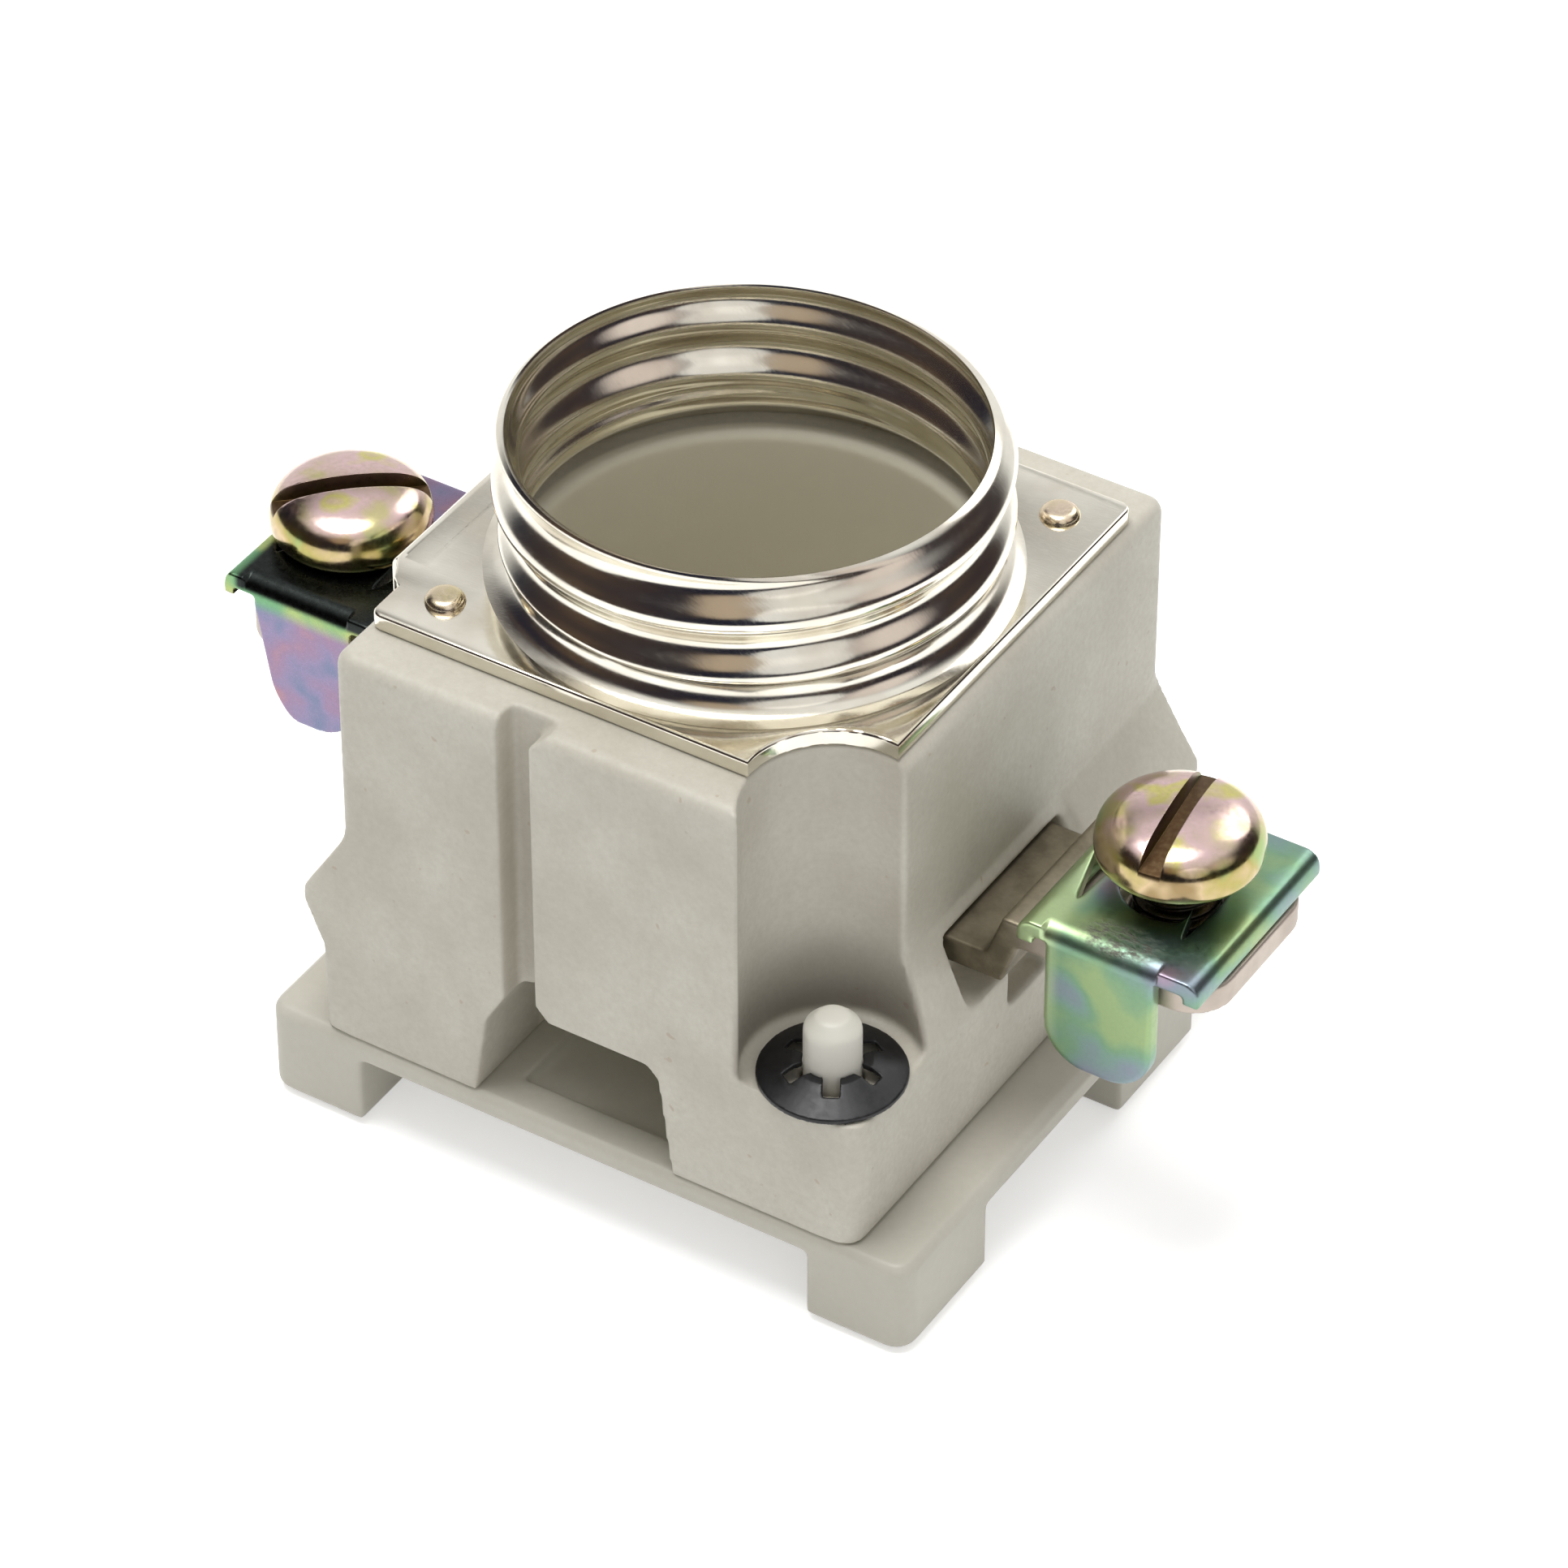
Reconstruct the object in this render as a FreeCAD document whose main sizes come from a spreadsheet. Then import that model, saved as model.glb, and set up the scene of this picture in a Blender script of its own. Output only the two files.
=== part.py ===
# Ceramic fuse base for screw-in cartridges, on a rail-mounting plate.
# Millimetres. Z = 0 is the underside of the plate, where it rests on the rail; +Z is up.
# X runs from the left terminal to the right one; the grooved long face looks to -Y.
# The ceramic is the same after half a turn about Z, and so are pins, washers and screws.
import FreeCAD, Part
import os
import Sketcher

doc = FreeCAD.newDocument("fuse_base")
sheet = doc.addObject("Spreadsheet::Sheet", "sizes")
VEC = FreeCAD.Vector


class Size:
    """A length that knows its number and the sheet expression that gives it."""

    def __init__(self, number, text):
        self.number = number
        self.text = text

    def join(self, sign, other, number):
        text = other.text if isinstance(other, Size) else repr(other)
        return Size(number, f"({self.text} {sign} {text})")

    def __add__(self, other):
        return self.join("+", other, self.number + number_of(other))

    def __sub__(self, other):
        return self.join("-", other, self.number - number_of(other))

    def __mul__(self, other):
        return self.join("*", other, self.number * number_of(other))

    def __truediv__(self, other):
        return self.join("/", other, self.number / number_of(other))

    def __neg__(self):
        return Size(-self.number, f"(-{self.text})")


def number_of(value):
    return value.number if isinstance(value, Size) else float(value)


def size(name, number, note=""):
    """Puts one driving size on the next row of the sheet."""
    row = len(sheet.getUsedCells()) // 3 + 1
    sheet.set(f"A{row}", name)
    sheet.set(f"B{row}", str(number))
    sheet.set(f"C{row}", note or "mm")
    sheet.setAlias(f"B{row}", name)
    return Size(number, f"sizes.{name}")


# Threaded shell: the crest's radius carries the well, the flange and the block round them
shell_crest = size("shell_crest", 17.55, "outer radius of a crest")
thread_depth = size("thread_depth", 1.2)
thread_pitch = size("thread_pitch", 4.23)
shell_sheet = size("shell_sheet", 0.7)
shell_flare = size("shell_flare", 1.2, "foot of the wall beyond its valleys")
shell_valley = shell_crest - thread_depth
flange_rim = size("flange_rim", 0.5, "flange beyond the crest")
flange_half = shell_crest + flange_rim
flange_thick = size("flange_thick", 1.3)
flange_corner = size("flange_corner", 0.7)

# Ceramic body in plan
side_margin = size("side_margin", 0.65, "ceramic beyond the flange, at the terminals")
front_margin = size("front_margin", 3.6, "ceramic beyond the flange, at the long faces")
block_half_x = flange_half + side_margin
block_half_y = flange_half + front_margin
block_corner = size("block_corner", 1.2)
block_edge = size("block_edge", 1.0)
base_flare = size("base_flare", 2.6, "foot of the block beyond its top, each terminal side")
base_half_x = block_half_x + base_flare
base_corner = size("base_corner", 1.5)
skirt_lean = size("skirt_lean", 0.2, "mould draft of the foot")
skirt_half_x = base_half_x + skirt_lean
ear_reach = size("ear_reach", 0.65, "lip of an ear beyond the foot of the block")
ear_under = size("ear_under", 0.7, "foot of an ear inside the foot of the block")
ear_half_x = base_half_x + ear_reach
ear_foot_x = base_half_x - ear_under
ear_round = size("ear_round", 0.8)
ear_root = size("ear_root", 2.0, "lip's root inside the block")
notch_radius = size("notch_radius", 6.1)
groove_left = size("groove_left", 5.9)
groove_right = size("groove_right", 3.5)
groove_depth = size("groove_depth", 2.0)
groove_flare = size("groove_flare", 1.4)
recess_half = size("recess_half", 7.5)
recess_depth = size("recess_depth", 0.7, "into the block behind each terminal")
recess_wall = block_half_x - recess_depth
slot_half = size("slot_half", 2.5)
slot_step = size("slot_step", 1.5)
ear_step = size("ear_step", 1.0, "from a recess to the next ear")
ear_start = recess_half + ear_step
well_step = size("well_step", 0.25, "ceramic inside the shell's valleys")
well_radius = shell_valley - shell_sheet - well_step
foot_step = size("foot_step", 0.8, "ledge low in the well")
well_foot_radius = well_radius - foot_step
well_bevel = size("well_bevel", 0.5)
contact_screw_place = size("contact_screw_place", 7.2)
chamber_margin = size("chamber_margin", 4.3, "beyond the contact screws")
chamber_half_x = contact_screw_place + chamber_margin
chamber_half_y = size("chamber_half_y", 9.0)
arch_left = size("arch_left", 8.4)
arch_right = size("arch_right", 7.1)
arch_lean = size("arch_lean", 1.0)
arch_bevel = size("arch_bevel", 0.9)

# Ceramic body in height, from the plate up
plate_thick = size("plate_thick", 1.6)
arch_height = size("arch_height", 8.6)
arch_top = plate_thick + arch_height
arch_rise = size("arch_rise", 1.2, "where the groove runs into the arch")
arch_shoulder = size("arch_shoulder", 2.0, "left corner of the arch below its top")
chamber_rise = size("chamber_rise", 0.1)
chamber_top = arch_top + chamber_rise
floor_thick = size("floor_thick", 4.6)
well_floor = chamber_top + floor_thick
ledge_height = size("ledge_height", 2.5)
well_ledge = well_floor + ledge_height
well_depth = size("well_depth", 19.5)
block_top = well_floor + well_depth
skirt_rise = size("skirt_rise", 3.5, "top of the flare above the well's floor")
skirt_top = well_floor + skirt_rise
skirt_height = size("skirt_height", 6.4)
pad_level = skirt_top - skirt_height
ear_level_step = size("ear_level_step", 0.2)
ear_level = pad_level + ear_level_step
ear_land = size("ear_land", 1.1, "upright face of the lip")
ear_height = size("ear_height", 3.2)
ear_foot_level = ear_level - ear_height
strip_thick = size("strip_thick", 2.0)
window_play = size("window_play", 0.3, "above the contact rail")
window_side = size("window_side", 0.2, "beside the contact rail")
window_overlap = size("window_overlap", 2.0, "how far the window reaches into the round well")
recess_top = well_floor + strip_thick + window_play
recess_height = size("recess_height", 4.6)
recess_floor = recess_top - recess_height
recess_fall = size("recess_fall", 0.6)
slot_height = size("slot_height", 8.5)
slot_floor = recess_top - slot_height
flange_top = block_top + flange_thick
crest_rise = size("crest_rise", 3.25, "first crest above the flange")
first_crest = flange_top + crest_rise
lip_rise = size("lip_rise", 3.62, "lip above the last crest")
lip_flare = size("lip_flare", 0.6)
crest_count = 2
beyond = size("beyond", 1.0, "how far a cut runs past the face it opens")

# Base plate, its feet and its pins
rail_width = size("rail_width", 35.0, "top-hat rail between the feet")
rail_play = size("rail_play", 0.15, "each side")
plate_reach_x = size("plate_reach_x", 4.0, "plate beyond the ceramic, at the terminals")
plate_reach_y = size("plate_reach_y", 0.25, "plate beyond the ceramic, at the long faces")
plate_half_x = base_half_x + plate_reach_x
plate_half_y = block_half_y + plate_reach_y
plate_corner = size("plate_corner", 1.6)
plate_edge = size("plate_edge", 0.5)
foot_drop = size("foot_drop", 5.9)
foot_bevel = size("foot_bevel", 0.7)
front_foot_length = size("front_foot_length", 10.4)
rear_foot_start = size("rear_foot_start", 6.0)
rear_foot_length = size("rear_foot_length", 10.0)
hollow_left = size("hollow_left", 6.3, "shallow hollow of the plate, left of the middle")
hollow_right = size("hollow_right", 12.0)
hollow_margin = size("hollow_margin", 3.0, "from the plate's long edges")
hollow_depth = size("hollow_depth", 0.85)
pin_inset_x = size("pin_inset_x", 1.7, "from the ceramic's side")
pin_inset_y = size("pin_inset_y", 4.1, "from the ceramic's long face")
pin_x = block_half_x - pin_inset_x
pin_y = block_half_y - pin_inset_y
pin_diameter = size("pin_diameter", 3.9)
pin_rise = size("pin_rise", 5.1, "above the pad")
pin_top = pad_level + pin_rise
pin_bevel = size("pin_bevel", 0.9)
pin_play = size("pin_play", 0.15, "pin in the ceramic, each side")

# Push-on washers
washer_diameter = size("washer_diameter", 10.0)
washer_sheet = size("washer_sheet", 0.4)
washer_rise = size("washer_rise", 1.4)
washer_grip = size("washer_grip", 0.03, "between pin and washer, each side")
tooth_flat = size("tooth_flat", 0.7, "level end of each tooth")
tooth_slot = size("tooth_slot", 1.1)
tooth_reach = size("tooth_reach", 3.4)
tooth_count = 6

# Strap and terminals
strap_half = size("strap_half", 12.8)
strap_gap = size("strap_gap", 0.3, "between strap and ceramic")
strap_face = block_half_x + strap_gap + flange_thick
strap_bend = size("strap_bend", 1.9)
strap_root = size("strap_root", 1.0, "strap into the flange")
strip_side_play = size("strip_side_play", 0.6, "strip in the recess, each side")
strip_half = recess_half - strip_side_play
rail_rise = size("rail_rise", 5.4, "top of the terminals above the well's floor")
strip_level = well_floor + rail_rise
terminal_reach = size("terminal_reach", 12.0, "screw axis beyond the strap")
terminal_x = strap_face + terminal_reach
strip_tail = size("strip_tail", 6.4, "strip beyond the screw axis")
strip_end = terminal_x + strip_tail
strip_corner = size("strip_corner", 3.0)
bend_reach = size("bend_reach", 1.7, "bend of the rail beyond the ceramic")
rail_bend = skirt_half_x + bend_reach
rail_slope = size("rail_slope", 1.2)
screw_diameter = size("screw_diameter", 6.0)
screw_play = size("screw_play", 0.06, "screw in its tapped hole, each side")

# Saddles under the terminal screws
saddle_sheet = size("saddle_sheet", 1.2)
saddle_height = size("saddle_height", 2.1, "above the strip")
saddle_top = strip_level + saddle_height
wing_gap = size("wing_gap", 0.3, "between wings and strip")
saddle_wing = strip_level + wing_gap
saddle_reach_in = size("saddle_reach_in", 7.2)
saddle_reach_out = size("saddle_reach_out", 6.3)
saddle_inner = terminal_x - saddle_reach_in
saddle_outer = terminal_x + saddle_reach_out
tab_gap = size("tab_gap", 0.3, "between tab and strip")
saddle_front = strip_half + tab_gap + saddle_sheet
saddle_rear_reach = size("saddle_rear_reach", 0.8, "behind the strip")
saddle_rear = strip_half + saddle_rear_reach
saddle_round = size("saddle_round", 1.1)
saddle_play = size("saddle_play", 0.8, "screw in the saddle, each side")
left_saddle_lift = size("left_saddle_lift", 2.4, "the left saddle hangs up under its screw's head")
left_saddle_shift = size("left_saddle_shift", 0.5, "and leans towards the body in its play")
tab_reach_in = size("tab_reach_in", 5.0)
tab_reach_out = size("tab_reach_out", 2.9)
tab_inner = terminal_x - tab_reach_in
tab_outer = terminal_x + tab_reach_out
tab_drop = size("tab_drop", 10.8)
tab_foot = saddle_top - tab_drop
tab_corner = size("tab_corner", 3.2)
slit_spread = size("slit_spread", 4.6)
slit_width = size("slit_width", 0.9)
slit_half = size("slit_half", 3.6)

# Terminal screws
head_gap = size("head_gap", 3.0, "screws stand open by this much")
head_seat = saddle_top + head_gap
screw_length = size("screw_length", 11.0)
screw_end = head_seat - screw_length
head_diameter = size("head_diameter", 11.2)
head_rim = size("head_rim", 2.4)
head_side = head_seat + head_rim
head_dome = size("head_dome", 1.1)
head_top = head_side + head_dome
dome_step = size("dome_step", 2.0)
head_slot = size("head_slot", 1.5)
head_slot_depth = size("head_slot_depth", 1.6)
slot_turn_left = size("slot_turn_left", 42.0, "degrees")
slot_turn_right = size("slot_turn_right", 97.5, "degrees")

# Screws of the flange and of the contact rail
flange_screw_inset = size("flange_screw_inset", 3.55, "from the flange's edges")
flange_screw_place = flange_half - flange_screw_inset
flange_screw_diameter = size("flange_screw_diameter", 2.75)
flange_screw_rise = size("flange_screw_rise", 0.9)
flange_screw_top = flange_top + flange_screw_rise
flange_screw_depth = size("flange_screw_depth", 10.4)
flange_screw_seat = block_top - flange_screw_depth
flange_screw_head = size("flange_screw_head", 5.4)
flange_head_thick = size("flange_head_thick", 2.0)
contact_screw_diameter = size("contact_screw_diameter", 3.0)
contact_screw_top = well_floor + strip_thick
contact_screw_head = size("contact_screw_head", 5.4)
contact_head_thick = size("contact_head_thick", 1.9)
hole_play = size("hole_play", 0.25, "screws in the ceramic, each side")
head_play = size("head_play", 0.4, "screw heads in their counterbores, each side")
origin_line = Size(0.0, "0")
doc.recompute()


# Helpers for bodies, sketches and edges
def new_body(name):
    body = doc.addObject("PartDesign::Body", name)
    body.Label = name
    return body


def finish_body(body, tip):
    body.Tip = tip
    doc.recompute()
    return body


def origin_part(body, role):
    return [item for item in body.Origin.OriginFeatures if item.Role == role][0]


def new_sketch(body, name, role, offset=None):
    """A sketch on one of the body's own planes, moved along the plane's normal by offset."""
    sketch = body.newObject("Sketcher::SketchObject", name)
    sketch.AttachmentSupport = [(origin_part(body, role), "")]
    sketch.MapMode = "FlatFace"
    if offset is not None:
        sketch.AttachmentOffset = FreeCAD.Placement(VEC(0, 0, number_of(offset)), FreeCAD.Rotation())
        if isinstance(offset, Size):
            sketch.setExpression("AttachmentOffset.Base.z", offset.text)
    return sketch


def pin_value(sketch, kind, args, value, name):
    """One dimension of a sketch, driven by its expression."""
    index = sketch.addConstraint(Sketcher.Constraint(kind, *args, number_of(value)))
    if isinstance(value, Size):
        sketch.renameConstraint(index, name)
        sketch.setExpression(f"Constraints.{name}", value.text)


def pin_point(sketch, geometry, end, point):
    for kind, value, axis in (("DistanceX", point[0], "x"), ("DistanceY", point[1], "y")):
        name = f"{axis}{geometry}_{end}"
        if abs(number_of(value)) < 1e-9:
            on_axis = -2 if axis == "x" else -1
            sketch.addConstraint(Sketcher.Constraint("PointOnObject", geometry, end, on_axis))
        else:
            pin_value(sketch, kind, (-1, 1, geometry, end), value, name)


def flat(point):
    return VEC(number_of(point[0]), number_of(point[1]), 0)


def outline(sketch, points):
    """A closed outline of straight lines through points."""
    first = sketch.GeometryCount
    count = len(points)
    for index in range(count):
        start, end = points[index], points[(index + 1) % count]
        sketch.addGeometry(Part.LineSegment(flat(start), flat(end)), False)
    for index in range(count):
        after = first + (index + 1) % count
        sketch.addConstraint(Sketcher.Constraint("Coincident", first + index, 2, after, 1))
    for index in range(count):
        pin_point(sketch, first + index, 1, points[index])


def box_outline(sketch, left, bottom, right, top):
    outline(sketch, [(left, bottom), (right, bottom), (right, top), (left, top)])


def circle(sketch, centre, radius):
    index = sketch.addGeometry(Part.Circle(flat(centre), VEC(0, 0, 1), number_of(radius)), False)
    pin_point(sketch, index, 3, centre)
    pin_value(sketch, "Radius", (index,), radius, f"r{index}")


def set_length(feature, prop, value):
    setattr(feature, prop, number_of(value))
    if isinstance(value, Size):
        feature.setExpression(prop, value.text)


def extrude(body, kind, name, sketch, length, midplane=False, backwards=False):
    feature = body.newObject(f"PartDesign::{kind}", name)
    feature.Profile = sketch
    set_length(feature, "Length", length)
    feature.SideType = "Symmetric" if midplane else "One side"
    feature.Reversed = backwards
    doc.recompute()
    return feature


def pad(body, name, sketch, length, **how):
    return extrude(body, "Pad", name, sketch, length, **how)


def pocket(body, name, sketch, length, **how):
    """Cuts and makes sure that something was cut."""
    before = body.Shape.Volume
    feature = extrude(body, "Pocket", name, sketch, length, **how)
    if feature.Shape.Volume > before - 0.01:
        raise ValueError(f"{name} cuts nothing")
    return feature


def revolve(body, kind, name, sketch):
    feature = body.newObject(f"PartDesign::{kind}", name)
    feature.Profile = sketch
    feature.ReferenceAxis = (sketch, ["V_Axis"])
    feature.Angle = 360.0
    doc.recompute()
    return feature


def repeat(body, name, features, count):
    """The features again, evenly about the body's Z axis."""
    pattern = body.newObject("PartDesign::PolarPattern", name)
    pattern.Originals = features
    pattern.Axis = (origin_part(body, "Z_Axis"), [""])
    pattern.Angle = 360.0
    pattern.Occurrences = count
    body.Tip = pattern
    doc.recompute()
    return pattern


def edges_where(feature, test):
    names = []
    for index, edge in enumerate(feature.Shape.Edges):
        if test(edge, edge.BoundBox):
            names.append(f"Edge{index + 1}")
    if not names:
        raise ValueError(f"no edge found on {feature.Name}")
    return names


def dress(body, kind, name, base, test, value):
    """A Fillet or Chamfer on the edges that pass the test."""
    feature = body.newObject(f"PartDesign::{kind}", name)
    feature.Base = (base, edges_where(base, test))
    set_length(feature, "Radius" if kind == "Fillet" else "Size", value)
    doc.recompute()
    return feature


def near(value, target, slack=0.02):
    return abs(value - number_of(target)) < slack


def upright(box):
    return box.ZLength > 0.3 and box.XLength < 0.02 and box.YLength < 0.02


def level(box, height):
    return near(box.ZMin, height) and near(box.ZMax, height)


def at_both(value, target):
    return near(abs(value), target)


# Base plate: one moulding with four feet, a shallow recess and two pins
def make_base_plate():
    body = new_body("base_plate")
    half_x = plate_half_x
    half_y = plate_half_y
    slab = new_sketch(body, "plate_outline", "XY_Plane", -foot_drop)
    box_outline(slab, -half_x, -half_y, half_x, half_y)
    tip = pad(body, "plate_slab", slab, plate_thick + foot_drop)
    tip = dress(body, "Fillet", "plate_corners", tip, lambda edge, box: upright(box), plate_corner)

    inner = rail_width / 2 + rail_play
    channel = new_sketch(body, "rail_channel_outline", "XY_Plane", -foot_drop)
    box_outline(channel, -inner, -half_y - beyond, inner, half_y + beyond)
    pocket(body, "rail_channel", channel, foot_drop, backwards=True)
    gaps = new_sketch(body, "foot_gap_outline", "XY_Plane", -foot_drop)
    box_outline(gaps, -half_x - beyond, front_foot_length - half_y, half_x + beyond, rear_foot_start)
    box_outline(gaps, -half_x - beyond, rear_foot_start + rear_foot_length, half_x + beyond, half_y + beyond)
    tip = pocket(body, "foot_gaps", gaps, foot_drop, backwards=True)
    tip = dress(body, "Chamfer", "foot_soles", tip, lambda edge, box: level(box, -foot_drop), foot_bevel)
    tip = dress(body, "Chamfer", "plate_rim", tip, lambda edge, box: level(box, plate_thick), plate_edge)

    hollow = new_sketch(body, "hollow_outline", "XY_Plane", plate_thick)
    hollow_half = half_y - hollow_margin
    box_outline(hollow, -hollow_left, -hollow_half, hollow_right, hollow_half)
    tip = pocket(body, "hollow", hollow, hollow_depth)

    pins = new_sketch(body, "pin_outline", "XY_Plane")
    circle(pins, (pin_x, -pin_y), pin_diameter / 2)
    circle(pins, (-pin_x, pin_y), pin_diameter / 2)
    tip = pad(body, "pins", pins, pin_top)
    tip = dress(body, "Chamfer", "pin_ends", tip, lambda edge, box: level(box, pin_top), pin_bevel)
    return finish_body(body, tip)


# Push-on washers: domed spring discs whose teeth grip the pins
def make_washer(name, x_place, y_place):
    body = new_body(name)
    hub = pin_diameter / 2 + washer_grip
    rim = washer_diameter / 2
    profile = new_sketch(body, name + "_profile", "XZ_Plane", 0)
    outline(profile, [
        (hub, washer_rise - washer_sheet), (hub, washer_rise),
        (hub + tooth_flat, washer_rise), (rim, washer_sheet),
        (rim, origin_line), (hub + tooth_flat, washer_rise - washer_sheet)])
    disc = revolve(body, "Revolution", name + "_disc", profile)
    slit = new_sketch(body, name + "_slit_outline", "XY_Plane")
    box_outline(slit, origin_line, -tooth_slot / 2, tooth_reach, tooth_slot / 2)
    cut = pocket(body, name + "_slit", slit, washer_rise * 2, midplane=True)
    teeth = repeat(body, name + "_teeth", [cut], tooth_count)
    finish_body(body, teeth)
    body.Placement.Base = VEC(number_of(x_place), number_of(y_place), number_of(pad_level))
    body.setExpression("Placement.Base.x", x_place.text)
    body.setExpression("Placement.Base.y", y_place.text)
    body.setExpression("Placement.Base.z", pad_level.text)
    return body


# Ceramic body: one moulded block with notches, grooves, tunnel, recesses and well
def ceramic_block(body):
    side = new_sketch(body, "block_profile", "XZ_Plane")
    right = [(base_half_x, plate_thick), (skirt_half_x, pad_level),
             (block_half_x, skirt_top), (block_half_x, block_top)]
    left = [(-x, z) for x, z in reversed(right)]
    outline(side, right + left)
    tip = pad(body, "block", side, block_half_y * 2, midplane=True)
    corners = dress(
        body, "Fillet", "block_corners", tip,
        lambda edge, box: near(box.ZMin, skirt_top) and near(box.ZMax, block_top), block_corner)
    feet = dress(body, "Fillet", "base_corners", corners,
                 lambda edge, box: near(box.ZMin, plate_thick) and near(box.ZMax, pad_level), base_corner)
    return dress(body, "Fillet", "block_rim", feet, lambda edge, box: level(box, block_top), block_edge)


def ceramic_ears(body):
    """The lips of the two corners without pins: an overhang above a narrower foot."""
    lip = new_sketch(body, "ear_profile", "XZ_Plane", block_half_y)
    outline(lip, [(-block_half_x, skirt_top), (-ear_half_x, ear_level + ear_land), (-ear_half_x, ear_level),
                  (-ear_foot_x, ear_foot_level), (-ear_foot_x + ear_root, ear_level)])
    raised = pad(body, "ear", lip, block_half_y - ear_start, backwards=True)
    under = new_sketch(body, "ear_foot_profile", "XZ_Plane", block_half_y)
    outline(under, [(-ear_foot_x, plate_thick), (-ear_foot_x, ear_foot_level),
                    (-ear_half_x, ear_level), (-ear_half_x - beyond, ear_level), (-ear_half_x - beyond, plate_thick)])
    cut = pocket(body, "ear_foot", under, block_half_y - ear_start)
    both = repeat(body, "ears", [raised, cut], 2)
    return dress(body, "Fillet", "ear_lips", both,
                 lambda edge, box: (at_both(box.XMax, ear_half_x) and at_both(box.XMin, ear_half_x)
                                    and box.YLength > box.ZLength), ear_round)


def ceramic_notches(body):
    """Round notches over the pins, from the pads up through the top."""
    notch = new_sketch(body, "notch_outline", "XY_Plane", block_top)
    circle(notch, (pin_x, -pin_y), notch_radius)
    cut = pocket(body, "notch", notch, block_top - pad_level)
    hole = new_sketch(body, "pin_hole_outline", "XY_Plane", pad_level)
    circle(hole, (pin_x, -pin_y), pin_diameter / 2 + pin_play)
    bore = pocket(body, "pin_hole", hole, pad_level)
    return repeat(body, "notches", [cut, bore], 2)


def ceramic_grooves(body):
    groove = new_sketch(body, "groove_outline", "XY_Plane", block_top)
    face = -block_half_y
    outline(groove, [(-groove_left, face - beyond), (-groove_left, face + groove_depth),
                     (-groove_right, face + groove_depth), (-groove_right, face - beyond)])
    cut = pocket(body, "groove", groove, block_top - arch_top)
    flare = new_sketch(body, "flare_outline", "XZ_Plane", block_half_y)
    outline(flare, [(-groove_right, block_top), (-groove_right, block_top - groove_flare),
                    (-groove_right + groove_flare, block_top)])
    wide = pocket(body, "groove_mouth", flare, groove_depth)
    return repeat(body, "grooves", [cut, wide], 2)


def ceramic_tunnel(body):
    """The cable arch at the foot of both long faces and the chamber between them."""
    arch = new_sketch(body, "arch_profile", "XZ_Plane", block_half_y)
    outline(arch, [
        (-arch_left, plate_thick), (-arch_left + arch_lean, arch_top - arch_shoulder),
        (-groove_left, arch_top + arch_rise / 2), (-groove_right, arch_top + arch_rise),
        (-groove_right + arch_lean, arch_top), (arch_right - arch_lean - arch_bevel, arch_top),
        (arch_right - arch_lean, arch_top - arch_bevel), (arch_right, plate_thick)])
    cut = pocket(body, "arch", arch, block_half_y)
    repeat(body, "arches", [cut], 2)
    chamber = new_sketch(body, "chamber_outline", "XY_Plane", chamber_top)
    box_outline(chamber, -chamber_half_x, -chamber_half_y, chamber_half_x, chamber_half_y)
    return pocket(body, "chamber", chamber, chamber_top - plate_thick)


def ceramic_recesses(body):
    """The recess behind each terminal, and the window of the contact rail into the well."""
    mouth = new_sketch(body, "recess_profile", "XZ_Plane")
    outline(mouth, [(recess_wall, recess_top), (recess_wall, recess_floor),
                    (skirt_half_x + beyond, recess_floor - recess_fall), (skirt_half_x + beyond, recess_top)])
    cut = pocket(body, "terminal_recess", mouth, recess_half * 2, midplane=True)
    slot = new_sketch(body, "slot_profile", "XZ_Plane")
    outline(slot, [(recess_wall + slot_step, recess_top), (recess_wall + slot_step, slot_floor),
                   (skirt_half_x + beyond, slot_floor), (skirt_half_x + beyond, recess_top)])
    deep = pocket(body, "terminal_slot", slot, slot_half * 2, midplane=True)
    repeat(body, "terminal_recesses", [cut, deep], 2)
    window = new_sketch(body, "window_profile", "XZ_Plane")
    box_outline(window, well_foot_radius - window_overlap, well_floor, base_half_x, recess_top)
    return pocket(body, "window", window, (strip_half + window_side) * 2, midplane=True)


def ceramic_well(body):
    well = new_sketch(body, "well_outline", "XY_Plane", block_top)
    circle(well, (origin_line, origin_line), well_radius)
    pocket(body, "well", well, block_top - well_ledge)
    foot = new_sketch(body, "well_foot_outline", "XY_Plane", well_ledge)
    circle(foot, (origin_line, origin_line), well_foot_radius)
    tip = pocket(body, "well_foot", foot, well_ledge - well_floor)
    return dress(body, "Chamfer", "well_mouth", tip,
                 lambda edge, box: level(box, block_top) and near(box.XLength, well_radius * 2, 0.1), well_bevel)


def ceramic_screw_holes(body):
    place = flange_screw_place
    hole = new_sketch(body, "flange_hole_outline", "XY_Plane", block_top)
    circle(hole, (-place, -place), flange_screw_diameter / 2 + hole_play)
    bore = pocket(body, "flange_hole", hole, block_top)
    counter = new_sketch(body, "flange_counterbore_outline", "XY_Plane", flange_screw_seat)
    circle(counter, (-place, -place), flange_screw_head / 2 + head_play)
    wide = pocket(body, "flange_counterbore", counter, flange_screw_seat)
    repeat(body, "flange_holes", [bore, wide], 2)
    floor = new_sketch(body, "contact_hole_outline", "XY_Plane", well_floor)
    for sign in (1, -1):
        circle(floor, (contact_screw_place * sign, origin_line), contact_screw_diameter / 2 + hole_play)
    return pocket(body, "contact_holes", floor, well_floor - plate_thick)


def make_ceramic():
    body = new_body("ceramic_body")
    ceramic_block(body)
    ceramic_ears(body)
    ceramic_notches(body)
    ceramic_grooves(body)
    ceramic_tunnel(body)
    ceramic_recesses(body)
    ceramic_well(body)
    tip = ceramic_screw_holes(body)
    return finish_body(body, tip)


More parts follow.
